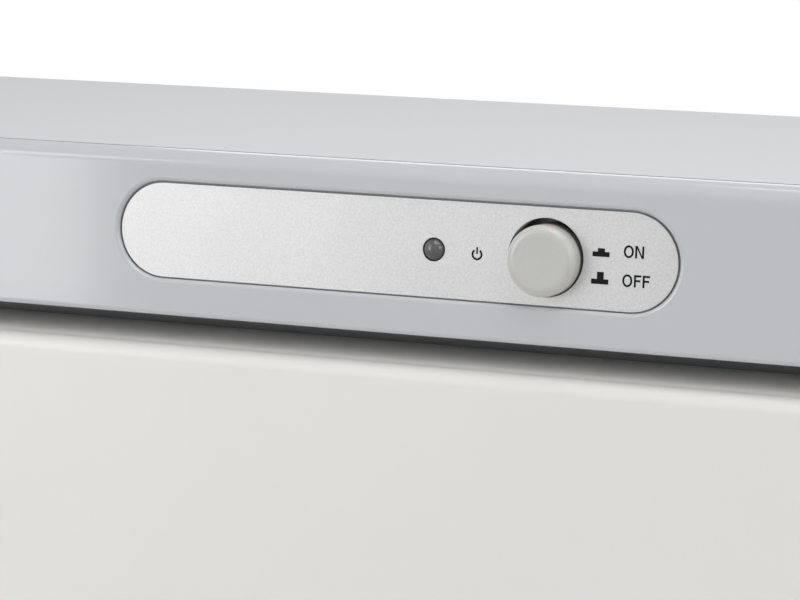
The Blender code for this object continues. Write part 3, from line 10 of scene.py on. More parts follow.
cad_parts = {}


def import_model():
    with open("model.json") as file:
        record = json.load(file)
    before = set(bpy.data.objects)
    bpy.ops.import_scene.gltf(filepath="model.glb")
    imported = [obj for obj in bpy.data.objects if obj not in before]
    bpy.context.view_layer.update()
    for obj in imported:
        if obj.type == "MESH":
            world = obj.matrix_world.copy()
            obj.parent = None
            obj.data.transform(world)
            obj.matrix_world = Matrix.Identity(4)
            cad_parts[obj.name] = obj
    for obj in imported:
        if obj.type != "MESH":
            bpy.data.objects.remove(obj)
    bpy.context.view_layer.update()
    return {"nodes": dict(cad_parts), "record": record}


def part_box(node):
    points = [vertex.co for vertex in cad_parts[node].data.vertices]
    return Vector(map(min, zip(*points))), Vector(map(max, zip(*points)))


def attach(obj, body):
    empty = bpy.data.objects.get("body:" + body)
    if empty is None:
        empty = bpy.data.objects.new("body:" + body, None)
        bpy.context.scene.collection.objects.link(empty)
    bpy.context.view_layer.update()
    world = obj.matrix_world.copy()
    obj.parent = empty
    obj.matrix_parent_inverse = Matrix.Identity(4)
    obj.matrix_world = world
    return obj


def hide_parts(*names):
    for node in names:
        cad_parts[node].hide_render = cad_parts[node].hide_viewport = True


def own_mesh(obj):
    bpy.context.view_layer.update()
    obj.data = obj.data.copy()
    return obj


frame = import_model()

# Shape code works in millimetres: x to the right, depth behind the fascia's front, z up
MM = 0.001
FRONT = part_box("front_fascia")[0].y
NODES = frame["nodes"]
SIDES = (("left", -1), ("right", 1))

# Points closer than WELD are joined after a cut, and most cutters stand PAST beyond what they cut
WELD = 0.002
PAST = 5.0

# Casing
HALF = 225.0
OUTSIDE = HALF * 1.1
TOP = 236.0
GAP = 0.3
SHEET = 1.2
WRAP_BEND = 6.0
WRAP_BOTTOM = 10.0
SEAM = 3.3
FLANGE_BACK = 260.5
REAR_FLANGE = 14.0

# Fascia and the recess for its control panel; rounds are those of the top, side and bottom edges
FASCIA_BOTTOM = 198.8
FASCIA_BACK = 30.7
FASCIA_WALL = 3.5
FASCIA_SKIN = 2.5
FASCIA_ROUNDS = (4.2, 2.6, 1.2)
FASCIA_BLEND = 8.0
FASCIA_STEP = 0.05
REBATE = 1.5
PANEL_X = 99.8
PANEL_Z = 218.2
RECESS = (PANEL_X - 0.17, PANEL_Z - 0.33)
RECESS_HALF = 65.3
RECESS_RADIUS = 10.87
RECESS_DEPTH = 2.0
RIM_ROUND = 0.95

# Control plate, button and lamp
PLATE = (PANEL_X - 0.20, PANEL_Z - 0.43)
PLATE_HALF = 64.8
PLATE_RADIUS = 10.52
PLATE_FACE = 1.0
PLATE_BACK = 1.7
BUTTON_X = PANEL_X + 35.36
BUTTON_HOLE = 8.38
BUTTON_HOLE_Z = PANEL_Z - 0.64
BUTTON_Z = PANEL_Z - 1.18
BUTTON_RADIUS = 7.65
BUTTON_EDGE = 1.9
BUTTON_FRONT = -3.2
BUTTON_SKIRT = 12.0
BUTTON_WALL = 1.5
BUTTON_CAP = 2.0
STEM_RADIUS = 2.5
STEM_END = 20.5
LAMP_X = PANEL_X + 10.0
LAMP_Z = PANEL_Z - 0.6
LAMP_RADIUS = 2.5
LAMP_HOLE = 2.53
LAMP_TIP = -0.3
LAMP_RIM = 2.95
LAMP_RIM_DEPTH = (7.3, 8.3)

# Door, its liner and its hinges; rounds are those of the top, side and bottom edges
DOOR_LOW = 35.0
DOOR_TOP = 192.2
DOOR_THICK = 27.0
DOOR_WALL = 2.5
DOOR_CORNER = 4.0
DOOR_ROUNDS = (3.5, 3.5, 7.0)
DOOR_BLEND = 24.0
DOOR_BACK_ROUND = 0.5
DOOR_LIP = 22.0
LIP_TOP = 194.2
LIP_RETURN = 12.5
NOTCH_INNER = 211.7
NOTCH_TOP = 49.5
BLOCK_INNER = 196.7
BLOCK_TOP = 52.0
HINGE = (7.0, 42.0)
HINGE_BORE = 2.6
HINGE_BORE_INNER = 199.4
HINGE_END = 222.0
CHEEK_INNER = 212.0
CHEEK_ROUND = 6.0
CHEEK_BACK = 30.7
CHEEK_FOOT = 11.5
PIN_INNER = 199.7
PIN_RADIUS = 2.5
PIN_BEVEL = 0.4
BOSS_RADIUS = 3.5
PILOT_RADIUS = 1.8
PILOT_DEPTH = (14.1, 30.0)
LINER_FRONT = 24.5
LINER_HALF = 222.2
LINER_Z = (37.8, 176.2)
LINER_CORNER = 2.0
LINER_FOLD_DEPTH = (8.5, 25.7)
FIELD_HALF = 183.0
FIELD_Z = (64.0, 150.0)
FIELD_CORNER = 9.0
LINER_SCREW_X = 212.0
LINER_SCREW_ROWS = (("low", 60.0), ("high", 169.2))
LINER_SCREWS = [(sign * LINER_SCREW_X, z) for name, sign in SIDES for row, z in LINER_SCREW_ROWS]

# Chamber, the frame round its mouth, and the magnet catches
CHAMBER_HALF = 195.0
CHAMBER_Z = (52.0, 162.0)
CHAMBER_CORNER = 8.0
CHAMBER_DEPTH = (35.3, 240.3)
CHAMBER_WALL = 1.5
CHAMBER_FLANGE = 8.0
CHAMBER_HEEL = 5.0
FRAME_DEPTH = (31.0, 35.0)
FRAME_HALF = 223.5
FRAME_Z = (30.7, 204.8)
FRAME_CORNER = 1.5
THROUGH_FRAME = (20.0, 50.0)
CATCH_X = 213.0
CATCH_Z = 134.4
CATCH_SIZE = (14.0, 34.0)
CATCH_DEPTH = (28.6, 30.7)
CATCH_STEM = (9.0, 28.0)
CATCH_STEM_DEPTH = (30.4, 37.0)
STRIKE_DEPTH = (27.3, 28.3)
POLE_ACROSS = 2.4
POLE_SIZE = (1.4, 24.0)
POLE_DEPTH = (28.5, 29.5)

# Drip tray, its front and its well
TRAY_HALF = 202.0
TRAY_Z = (11.5, 28.5)
TRAY_DEPTH = (3.5, 195.0)
TRAY_FACE_HALF = 211.4
TRAY_FACE_Z = (11.5, 29.5)
TRAY_FACE_DEPTH = (2.0, 5.0)
WELL_HALF = 200.0
WELL_DEPTH = (5.0, 193.0)
WELL_CORNER = 6.0

# Back with its vents and mains inlet, and the feet
REAR_DEPTH = (260.8, 262.0)
THROUGH_REAR = (255.0, 268.0)
VENT_COUNT = 6
VENT_X = (-163.0, -117.0)
VENT_TOP = 214.0
VENT_PITCH = 6.0
VENT_HEIGHT = 2.6
VENT_END = 1.29
INLET_X = 160.0
INLET_Z = 206.0
INLET_BODY = (28.0, 21.0)
INLET_BODY_DEPTH = (238.5, 263.4)
INLET_PLATE = (50.0, 29.0)
INLET_PLATE_DEPTH = (262.3, 264.5)
SOCKET = (24.0, 17.0)
SOCKET_CROWN = 14.4
SOCKET_SHOULDER = 3.7
SOCKET_DEPTH = (244.5, 270.0)
CONTACTS = ((-7.0, 0.0), (0.0, 3.0), (7.0, 0.0))
CONTACT_SIZE = (2.0, 4.0)
CONTACT_TAPER = ((0.0, 243.5), (0.0, 257.3), (0.45, 258.5))
FOOT_X = 208.0
FOOT_ROWS = (("front", 20.0), ("rear", 240.0))
FOOT_WELL = 5.0


# Mesh helpers
def world(point):
    """A point in x, depth and z millimetres as a place in the frame."""
    x, depth, z = point
    return Vector((x * MM, FRONT + depth * MM, z * MM))


def add_object(name, data):
    obj = bpy.data.objects.new(name, data)
    bpy.context.scene.collection.objects.link(obj)
    return obj


def solids(name, groups):
    """One mesh of closed solids, each a list of rings of points.

    A list that ends with its first ring closes into a loop.
    """
    bm = bmesh.new()
    for rings in groups:
        closed = rings[0] == rings[-1]
        if closed:
            rings = rings[:-1]
        loops = [[bm.verts.new(world(point)) for point in points] for points in rings]
        pairs = list(zip(loops, loops[1:]))
        if closed:
            pairs.append((loops[-1], loops[0]))
        else:
            bm.faces.new(loops[0])
            bm.faces.new(loops[-1])
        for first, second in pairs:
            for i in range(len(first)):
                j = (i + 1) % len(first)
                bm.faces.new((first[i], first[j], second[j], second[i]))
    bmesh.ops.recalc_face_normals(bm, faces=bm.faces)
    mesh = bpy.data.meshes.new(name)
    bm.to_mesh(mesh)
    bm.free()
    return add_object(name, mesh)


def loft(name, rings):
    return solids(name, [rings])


def prism(name, outline, start, end, axis="depth"):
    """An outline run along an axis: (x, z) along depth, (depth, z) along x or (x, depth) along z."""
    place = axis_place((0, 0), axis)
    return loft(name, [[place(u, v, w) for u, v in outline] for w in (start, end)])


def block(name, x, depth, z):
    return prism(name, bar(x[0], z[0], x[1], z[1]), *depth)


def bar(left, low, right, high):
    return [(left, low), (right, low), (right, high), (left, high)]


def span(centre, size):
    return (centre - size / 2, centre + size / 2)


def at_depth(outline, depth):
    return [(x, depth, z) for x, z in outline]


def circle(radius, steps):
    turn = 2 * math.pi / steps
    return [(radius * math.cos(i * turn), radius * math.sin(i * turn)) for i in range(steps)]


def arc(centre, radius, start, end, steps=8):
    points = []
    for i in range(steps + 1):
        angle = math.radians(start + (end - start) * i / steps)
        points.append((centre[0] + radius * math.cos(angle), centre[1] + radius * math.sin(angle)))
    return points


def rounded(x, z, low, high, steps=10):
    """A rectangle's outline with its two lower and two upper corners rounded."""
    outline = []
    corners = ((x[0], z[0], 1, 1, low, 180), (x[1], z[0], -1, 1, low, 270))
    corners += ((x[1], z[1], -1, -1, high, 0), (x[0], z[1], 1, -1, high, 90))
    for u, v, across, up, radius, start in corners:
        if radius:
            centre = (u + across * radius, v + up * radius)
            outline += arc(centre, radius, start, start + 90, steps)
        else:
            outline.append((u, v))
    return outline


def stadium(centre, half, radius, steps=36):
    x, z = centre
    reach = half - radius
    return arc((x + reach, z), radius, -90, 90, steps) + arc((x - reach, z), radius, 90, 270, steps)


def axis_place(centre, axis):
    """Gives points from two offsets and a place along a line through centre along depth, x or z."""
    u, v = centre
    return {
        "depth": lambda a, b, w: (u + a, w, v + b),
        "x": lambda a, b, w: (w, u + a, v + b),
        "z": lambda a, b, w: (u + a, v + b, w),
    }[axis]


def turned_rings(centre, profile, steps, axis):
    place = axis_place(centre, axis)
    return [[place(a, b, along) for a, b in circle(radius, steps)] for radius, along in profile]


def turned(name, centre, profile, steps=48, axis="depth"):
    """A (radius, along) profile turned about a line through centre along depth, x or z."""
    return loft(name, turned_rings(centre, profile, steps, axis))


def rod(name, centre, radius, ends, steps=32, axis="depth"):
    return turned(name, centre, [(radius, end) for end in ends], steps, axis)


def carve(target, *cutters, operation="DIFFERENCE"):
    """Cuts the cutters from the target, or joins them to it, and removes them."""
    for cutter in cutters:
        cut = target.modifiers.new("cut", "BOOLEAN")
        cut.operation = operation
        cut.solver = "EXACT"
        cut.object = cutter
    bpy.context.view_layer.update()
    graph = bpy.context.evaluated_depsgraph_get()
    shaped = bpy.data.meshes.new_from_object(target.evaluated_get(graph))
    bm = bmesh.new()
    bm.from_mesh(shaped)
    bmesh.ops.remove_doubles(bm, verts=bm.verts, dist=WELD * MM)
    bmesh.ops.dissolve_degenerate(bm, edges=bm.edges, dist=WELD * MM)
    bm.to_mesh(shaped)
    bm.free()
    target.modifiers.clear()
    target.data = shaped
    shaped.name = target.name
    for cutter in cutters:
        bpy.data.objects.remove(cutter)


def even_normals(obj):
    normals = obj.modifiers.new("normals", "WEIGHTED_NORMAL")
    normals.keep_sharp = True


def add_bevel(obj, width, segments, angle):
    bevel = obj.modifiers.new("edges", "BEVEL")
    bevel.width = width * MM
    bevel.segments = segments
    bevel.limit_method = "ANGLE"
    bevel.angle_limit = math.radians(angle)


def smooth(obj, angle=35):
    """Smooth faces, with edges above the angle kept sharp, shaded by the flat faces beside them."""
    obj.data.shade_smooth()
    obj.data.set_sharp_from_angle(angle=math.radians(angle))
    even_normals(obj)


def soften(obj, width, segments=3, angle=35):
    """Rounds the edges above the angle."""
    obj.data.shade_smooth()
    add_bevel(obj, width, segments, angle)
    even_normals(obj)


def refine(obj, width):
    """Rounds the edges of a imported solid, whose triangles come unjoined, and leaves its mesh as it is."""
    weld = obj.modifiers.new("weld", "WELD")
    weld.merge_threshold = 1e-6
    flat = obj.modifiers.new("flat", "DECIMATE")
    flat.decimate_type = "DISSOLVE"
    flat.angle_limit = math.radians(0.5)
    add_bevel(obj, width, 2, 40)


def finish_piece(obj, body, slot, *replaced):
    """Gives a piece its finish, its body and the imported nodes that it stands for."""
    obj.data.materials.clear()
    obj.data.materials.append(FINISHES[slot])
    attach(obj, body)
    if replaced:
        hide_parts(*replaced)


# Finishes
NOISE_LOW = 0.3
NOISE_HIGH = 0.7


def linear(rgb):
    """An sRGB colour of 0 to 255 as scene linear values."""
    values = [channel / 255 for channel in rgb]
    return [v / 12.92 if v <= 0.04045 else ((v + 0.055) / 1.055) ** 2.4 for v in values]


def finish(name, rgb, vary, rough, blotch, grain, relief, wave=None, streak=None, speckle=0.0, **sockets):
    """A material with drifting colour, roughness that follows a grain, and relief.

    vary is the colour's drift as a share of it, and rough the lowest and highest roughness.
    blotch and grain are the sizes of drift and grain in millimetres, relief the grain's height in
    micrometres. wave is the size and height of a slower unevenness, streak stretches the grain along
    x, y and z, and speckle is the share of the grain in the colour's drift. The rest are shader sockets.
    """
    made = bpy.data.materials.new(name)
    made.use_nodes = True
    nodes = made.node_tree.nodes
    links = made.node_tree.links
    shader = nodes["Principled BSDF"]
    where = nodes.new("ShaderNodeTexCoord")
    stretch = nodes.new("ShaderNodeMapping")
    stretch.inputs["Scale"].default_value = streak or (1, 1, 1)
    links.new(where.outputs["Object"], stretch.inputs["Vector"])

    def noise(size, detail, vector):
        cells = nodes.new("ShaderNodeTexNoise")
        cells.inputs["Scale"].default_value = 1 / (size * MM)
        cells.inputs["Detail"].default_value = detail
        links.new(vector, cells.inputs["Vector"])
        return cells.outputs["Fac"]

    drift = noise(blotch, 3, where.outputs["Object"])
    fine = noise(grain, 2, stretch.outputs["Vector"])
    tint = nodes.new("ShaderNodeMix")
    tint.data_type = "RGBA"
    base = linear(rgb)
    tint.inputs["A"].default_value = (*[v * (1 - vary) for v in base], 1)
    tint.inputs["B"].default_value = (*[v * (1 + vary) for v in base], 1)
    if speckle:
        share = nodes.new("ShaderNodeMix")
        share.inputs["Factor"].default_value = speckle
        links.new(drift, share.inputs["A"])
        links.new(fine, share.inputs["B"])
        drift = share.outputs["Result"]
    links.new(drift, tint.inputs["Factor"])
    links.new(tint.outputs["Result"], shader.inputs["Base Color"])
    gloss = nodes.new("ShaderNodeMapRange")
    gloss.inputs["From Min"].default_value = NOISE_LOW
    gloss.inputs["From Max"].default_value = NOISE_HIGH
    gloss.inputs["To Min"].default_value = rough[0]
    gloss.inputs["To Max"].default_value = rough[1]
    links.new(fine, gloss.inputs["Value"])
    links.new(gloss.outputs["Result"], shader.inputs["Roughness"])
    bump = nodes.new("ShaderNodeBump")
    bump.inputs["Distance"].default_value = relief * MM * MM
    links.new(fine, bump.inputs["Height"])
    if wave:
        swell = nodes.new("ShaderNodeBump")
        swell.inputs["Distance"].default_value = wave[1] * MM * MM
        links.new(noise(wave[0], 1, where.outputs["Object"]), swell.inputs["Height"])
        links.new(swell.outputs["Normal"], bump.inputs["Normal"])
    links.new(bump.outputs["Normal"], shader.inputs["Normal"])
    for socket, value in sockets.items():
        shader.inputs[socket.replace("_", " ")].default_value = value
    return made


FINISHES = {
    "casing_paint": finish(
        "grey_paint", (184, 185, 188), 0.02, (0.46, 0.54), 60, 0.5, 1.5, wave=(9, 10)
    ),
    "fascia": finish(
        "grey_gloss", (195, 197, 200), 0.02, (0.07, 0.11), 50, 0.6, 0.3, wave=(11, 9)
    ),
    "control_plate": finish(
        "satin_silver", (193, 193, 193), 0.28, (0.36, 0.46), 30, 0.42, 14.0, speckle=0.8, Metallic=0.7
    ),
    "button": finish(
        "button_grey", (197, 197, 193), 0.015, (0.22, 0.28), 5, 0.25, 1.0, Subsurface_Weight=0.25,
        Subsurface_Scale=0.0015,
    ),
    "lamp": finish(
        "smoked_lens", (84, 84, 84), 0.05, (0.14, 0.20), 2, 0.3, 0.5, Subsurface_Weight=0.2,
        Subsurface_Scale=0.0008,
    ),
    "door": finish(
        "warm_white_plastic", (233, 231, 227), 0.015, (0.28, 0.34), 45, 0.4, 1.5, wave=(14, 6)
    ),
    "frame": finish(
        "moulded_white", (214, 212, 207), 0.02, (0.42, 0.52), 40, 0.5, 3.0
    ),
    # A grey moulding, darker than the white ones partly as painted shade: its tone deepens the dark of the
    # finger gap under the fascia
    "mouth_frame": finish(
        "grey_moulding_with_painted_gap_shade", (182, 182, 182), 0.04, (0.45, 0.55), 40, 0.5, 3.0
    ),
    "chamber": finish(
        "drawn_aluminium", (205, 206, 207), 0.04, (0.30, 0.42), 40, 0.25, 1.5,
        streak=(1, 0.06, 1), Metallic=1.0,
    ),
    "zinc_steel": finish(
        "zinc_plate", (176, 178, 180), 0.08, (0.32, 0.46), 8, 0.5, 1.0, Metallic=1.0
    ),
    "rack_wire": finish(
        "polished_wire", (212, 212, 214), 0.04, (0.12, 0.20), 12, 0.4, 0.6, Metallic=1.0
    ),
    "fasteners": finish(
        "nickel_screw", (190, 189, 184), 0.06, (0.22, 0.34), 3, 0.3, 1.0, Metallic=1.0
    ),
    "black_plastic": finish(
        "black_moulding", (33, 33, 34), 0.08, (0.42, 0.55), 20, 0.35, 5.0
    ),
    "rubber_feet": finish(
        "dark_rubber", (44, 44, 45), 0.10, (0.62, 0.78), 10, 0.5, 9.0
    ),
    "gasket": finish(
        "grey_silicone", (158, 158, 155), 0.04, (0.48, 0.60), 14, 0.4, 3.0, Subsurface_Weight=0.1,
        Subsurface_Scale=0.001,
    ),
    "insulation": finish(
        "glass_wool", (216, 196, 128), 0.18, (0.85, 0.95), 6, 0.9, 120.0
    ),
    "heater": finish(
        "heater_silicone", (150, 66, 40), 0.08, (0.55, 0.65), 12, 0.6, 6.0
    ),
    "wire_brown": finish(
        "brown_insulation", (92, 56, 34), 0.05, (0.38, 0.48), 8, 0.4, 2.0
    ),
    "wire_blue": finish(
        "blue_insulation", (42, 78, 150), 0.05, (0.38, 0.48), 8, 0.4, 2.0
    ),
    "wire_white": finish(
        "white_insulation", (218, 214, 204), 0.05, (0.45, 0.55), 8, 0.4, 2.0
    ),
}
INK = finish("plate_ink", (22, 22, 23), 0.06, (0.5, 0.6), 2, 0.15, 1.0, Specular_IOR_Level=0.1)


# Front fascia
def front_outline(half, low, high, corner, rounds, blend):
    """Points round a front view, each with its outward direction and the radius of the edge there.

    The radius passes from the bottom edge's to the side's over blend, and to the top's in the corners.
    """
    top, side, bottom = rounds
    points = [(-half, low, -1, -1, bottom), (half, low, 1, -1, bottom), (half, low + blend, 1, 0, side)]
    steps = 12
    for centre, start in ((half - corner, 0), (corner - half, 90)):
        for i in range(steps + 1):
            angle = math.radians(start + 90 * i / steps)
            across = math.cos(angle)
            up = math.sin(angle)
            radius = side + (top - side) * up * up
            points.append((centre + corner * across, high - corner + corner * up, across, up, radius))
    points.append((-half, low + blend, -1, 0, side))
    return points


def rolled_rings(points, reach, steps=10):
    """Rings from the flat front round the edge to the full outline.

    A round deeper than reach is cut short there.
    """
    rings = []
    for i in range(steps + 1):
        ring = []
        for x, z, nx, nz, r in points:
            angle = math.acos(max(0, 1 - reach / r)) * i / steps
            inset = r * (1 - math.sin(angle))
            ring.append((x - nx * inset, r * (1 - math.cos(angle)), z - nz * inset))
        rings.append(ring)
    return rings


def recess_cutter():
    """The control panel's recess, from a mouth just before the front to its floor."""
    profile = [(RIM_ROUND + 0.06, -0.05)]
    steps = 12
    for i in range(1, steps + 1):
        angle = math.pi / 2 * i / steps
        profile.append((RIM_ROUND * (1 - math.sin(angle)), RIM_ROUND * (1 - math.cos(angle))))
    rings = []
    for grow, depth in profile + [(0.0, RECESS_DEPTH)]:
        rings.append(at_depth(stadium(RECESS, RECESS_HALF + grow, RECESS_RADIUS + grow), depth))
    return loft("recess", rings)


def panel_holes(owner, start, end):
    button = rod(f"{owner}_button", (BUTTON_X, BUTTON_HOLE_Z), BUTTON_HOLE, (start, end), 64)
    lamp = rod(f"{owner}_lamp", (LAMP_X, LAMP_Z), LAMP_HOLE, (start, end), 40)
    return button, lamp


def make_fascia():
    points = front_outline(HALF, FASCIA_BOTTOM, TOP, WRAP_BEND, FASCIA_ROUNDS, FASCIA_BLEND)
    seam = SEAM - GAP
    rings = rolled_rings(points, seam - FASCIA_STEP)
    rings.append([(x, seam, z) for x, depth, z in rings[-1]])
    for depth in (seam, FASCIA_BACK):
        ring = []
        for x, z, nx, nz, r in points:
            lower = REBATE if nz > 0 else FASCIA_STEP
            ring.append((x - nx * REBATE, depth, z - nz * lower))
        rings.append(ring)
    fascia = loft("fascia", rings)
    inner = HALF - REBATE - FASCIA_SKIN
    pocket_z = (FASCIA_BOTTOM + FASCIA_SKIN, TOP - REBATE - FASCIA_SKIN)
    pocket = prism("pocket", rounded((-inner, inner), pocket_z, 1, 3), FASCIA_WALL, FASCIA_BACK + PAST)
    carve(fascia, pocket, recess_cutter(), *panel_holes("fascia", 1, 5))
    smooth(fascia)
    finish_piece(fascia, "cabinet", "fascia", "front_fascia")


def make_plate():
    plate = prism("plate", stadium(PLATE, PLATE_HALF, PLATE_RADIUS), PLATE_FACE, PLATE_BACK)
    carve(plate, *panel_holes("plate", 0, 3))
    soften(plate, 0.12)
    finish_piece(plate, "cabinet", "control_plate", "control_plate")


def make_button():
    """A cap with a shallow dish and a hollow skirt, on a stem that reaches the switch."""
    radius = BUTTON_RADIUS
    edge = BUTTON_EDGE
    face = BUTTON_FRONT
    skirt = face + BUTTON_SKIRT
    under = face + BUTTON_CAP
    inner = radius - BUTTON_WALL
    stem = STEM_RADIUS
    bevel = 0.3
    profile = [(0.4, face + 0.12), (3.2, face + 0.10), (5.0, face + 0.04)]
    profile += [(u, face + edge - v) for u, v in arc((radius - edge, 0), edge, 90, 0, 14)]
    profile += [(radius, skirt - bevel), (radius - bevel, skirt)]
    profile += [(inner + bevel, skirt), (inner, skirt - bevel)]
    profile += [(inner, under + 0.6), (inner - 0.6, under), (stem + 0.4, under), (stem, under + 0.4)]
    profile += [(stem, STEM_END - bevel), (stem - bevel, STEM_END)]
    button = turned("button", (BUTTON_X, BUTTON_Z), profile, 96)
    smooth(button)
    finish_piece(button, "power_button", "button", "power_button")


def make_lamp():
    """A round-nosed lens with a rim behind the panel."""
    radius = LAMP_RADIUS
    rim_front, rim_back = LAMP_RIM_DEPTH
    bevel = 0.2
    profile = [(u, LAMP_TIP + radius - v) for u, v in arc((0, 0), radius, 86, 0, 16)]
    profile += [(radius, rim_front), (LAMP_RIM, rim_front)]
    profile += [(LAMP_RIM, rim_back - bevel), (LAMP_RIM - bevel, rim_back)]
    lamp = turned("lamp", (LAMP_X, LAMP_Z), profile)
    smooth(lamp)
    finish_piece(lamp, "cabinet", "lamp", "led_lamp")


# Marks printed on the plate, in x and z from the panel's centre
MARK_FRONT = PLATE_FACE - 0.02
MARK_BACK = PLATE_FACE + 0.01
STROKE = 0.44
CAP_HEIGHT = 2.62
ON_LOW = 0.5
OFF_LOW = -5.6


def mark(outline):
    """A thin closed solid of one inked outline."""
    return [[(PANEL_X + x, depth, PANEL_Z + z) for x, z in outline] for depth in (MARK_FRONT, MARK_BACK)]


def curved_stroke(centre, radius, start, end, steps):
    outer = arc(centre, radius, start, end, steps)
    inner = arc(centre, radius - STROKE, start, end, steps)
    return outer + inner[::-1]


def stepped(base, knob):
    """A wide bar with a narrower one on it: left, low, right and top, then left, right and top."""
    left, low, right, step = base
    inner, outer, high = knob
    outline = [(left, low), (right, low), (right, step), (outer, step), (outer, high), (inner, high)]
    return outline + [(inner, step), (left, step)]


def letter_o(left, low):
    across = 1.1
    up = CAP_HEIGHT / 2 + 0.04
    rings = []
    for a, b in circle(1, 48):
        section = []
        for grow, depth in ((0, MARK_FRONT), (STROKE, MARK_FRONT), (STROKE, MARK_BACK), (0, MARK_BACK)):
            x = PANEL_X + left + across + (across - grow) * a
            section.append((x, depth, PANEL_Z + low + CAP_HEIGHT / 2 + (up - grow) * b))
        rings.append(section)
    return rings + rings[:1]


def letter_n(left, low):
    right = left + 1.95
    high = low + CAP_HEIGHT
    slant = 0.5
    notch = 0.62
    outline = [(left, low), (left + STROKE, low), (left + STROKE, high - notch)]
    outline += [(right - slant, low), (right, low), (right, high), (right - STROKE, high)]
    outline += [(right - STROKE, low + notch), (left + slant, high), (left, high)]
    return mark(outline)


def letter_f(left, low):
    high = low + CAP_HEIGHT
    middle = low + 1.16
    stem = left + STROKE
    short = left + 1.42
    long = left + 1.6
    outline = [(left, low), (stem, low), (stem, middle), (short, middle), (short, middle + STROKE)]
    outline += [(stem, middle + STROKE), (stem, high - STROKE), (long, high - STROKE), (long, high)]
    return mark(outline + [(left, high)])


def make_marks():
    groups = [letter_o(52.6, ON_LOW), letter_n(55.1, ON_LOW)]
    groups += [letter_o(52.5, OFF_LOW), letter_f(55.05, OFF_LOW), letter_f(56.95, OFF_LOW)]
    # Switch pushed in, and switch out
    groups.append(mark(stepped((45.75, 0.36, 49.5, 1.42), (46.9, 48.45, 2.15))))
    groups.append(mark(stepped((45.65, -5.42, 49.45, -4.34), (46.9, 48.4, -2.82))))
    # Power sign beside the lamp
    groups.append(mark(curved_stroke((19.9, -1.0), 1.25, 125, 415, 40)))
    groups.append(mark(bar(19.71, -0.9, 20.09, 0.6)))
    marks = solids("marks", groups)
    marks.data.materials.append(INK)
    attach(marks, "cabinet")


# Casing
def make_wrap():
    """The folded sheet over top and sides, with a flange at the back and room for the door in front."""
    outline = rounded((-HALF, HALF), (WRAP_BOTTOM, TOP), 0, WRAP_BEND, 16)
    wrap = prism("casing", outline, SEAM, FLANGE_BACK)
    inner = HALF - SHEET
    inside = rounded((-inner, inner), (WRAP_BOTTOM - PAST, TOP - SHEET), 0, WRAP_BEND - SHEET, 16)
    hollow = prism("hollow", inside, SEAM - 2, FLANGE_BACK - SHEET)
    window_half = HALF - REAR_FLANGE
    window = rounded((-window_half, window_half), (WRAP_BOTTOM - PAST, TOP - REAR_FLANGE), 0, 2)
    rear = prism("window", window, FLANGE_BACK - 4, FLANGE_BACK + 4)
    front = block("opening", (-HALF - PAST, HALF + PAST), (0, FASCIA_BACK + GAP), (0, FASCIA_BOTTOM))
    carve(wrap, hollow, rear, front)
    soften(wrap, 0.1, 2, 60)
    finish_piece(wrap, "cabinet", "casing_paint", "outer_wrap")


# Door
def door_shape():
    """The door's outside: rolled front edges, a top that swells to a lip and a fine round at the back."""
    points = front_outline(HALF, DOOR_LOW, DOOR_TOP, DOOR_CORNER, DOOR_ROUNDS, DOOR_BLEND)
    rings = rolled_rings(points, DOOR_THICK, 12)
    start = DOOR_ROUNDS[0]
    run = DOOR_LIP - start
    rise = LIP_TOP - DOOR_TOP
    profile = []
    steps = 8
    for i in range(1, steps + 1):
        turn = math.pi / 2 * i / steps
        profile.append((start + run * (1 - math.cos(turn)), rise * math.sin(turn), 0.0))
    for inset, back in arc((DOOR_BACK_ROUND, DOOR_BACK_ROUND), DOOR_BACK_ROUND, 180, 270, 4):
        profile.append((DOOR_THICK - back, rise, inset))
    for depth, lift, inset in profile:
        ring = []
        for x, z, nx, nz, r in points:
            ring.append((x - nx * inset, max(depth, r), z - nz * inset + max(nz, 0) * lift))
        rings.append(ring)
    return loft("door", rings)


def door_pocket():
    """The hollow behind the door's skin, which leaves the hinge blocks and screw bosses standing."""
    half = HALF - DOOR_WALL
    low = DOOR_LOW + DOOR_WALL
    high = DOOR_TOP - DOOR_WALL
    beyond = DOOR_THICK + 2
    above = LIP_TOP + 2
    turn_down = DOOR_TOP - LIP_RETURN
    lip_inner = DOOR_LIP - DOOR_WALL
    section = [(DOOR_WALL, low), (beyond, low), (beyond, above), (DOOR_LIP, above), (DOOR_LIP, turn_down)]
    section += [(lip_inner, turn_down), (lip_inner, LIP_TOP - DOOR_WALL), (DOOR_WALL, high)]
    pocket = prism("door_pocket", section, -half, half, "x")
    keep = []
    for name, sign in SIDES:
        x = sorted((sign * BLOCK_INNER, sign * OUTSIDE))
        keep.append(block(f"keep_{name}", x, (-PAST, 60), (0, BLOCK_TOP)))
    for i, place in enumerate(LINER_SCREWS):
        keep.append(rod(f"boss_{i}", place, BOSS_RADIUS, (0, LINER_FRONT - GAP)))
    carve(pocket, *keep)
    return pocket


def make_door():
    door = door_shape()
    cutters = [door_pocket()]
    for name, sign in SIDES:
        x = sorted((sign * NOTCH_INNER, sign * OUTSIDE))
        cutters.append(block(f"notch_{name}", x, (-PAST, DOOR_THICK + PAST), (0, NOTCH_TOP)))
        bore = sorted((sign * HINGE_BORE_INNER, sign * HALF))
        cutters.append(rod(f"bore_{name}", HINGE, HINGE_BORE, bore, axis="x"))
    for i, place in enumerate(LINER_SCREWS):
        cutters.append(rod(f"pilot_{i}", place, PILOT_RADIUS, PILOT_DEPTH, 24))
    carve(door, *cutters)
    smooth(door, 50)
    finish_piece(door, "door", "door", "door_shell")


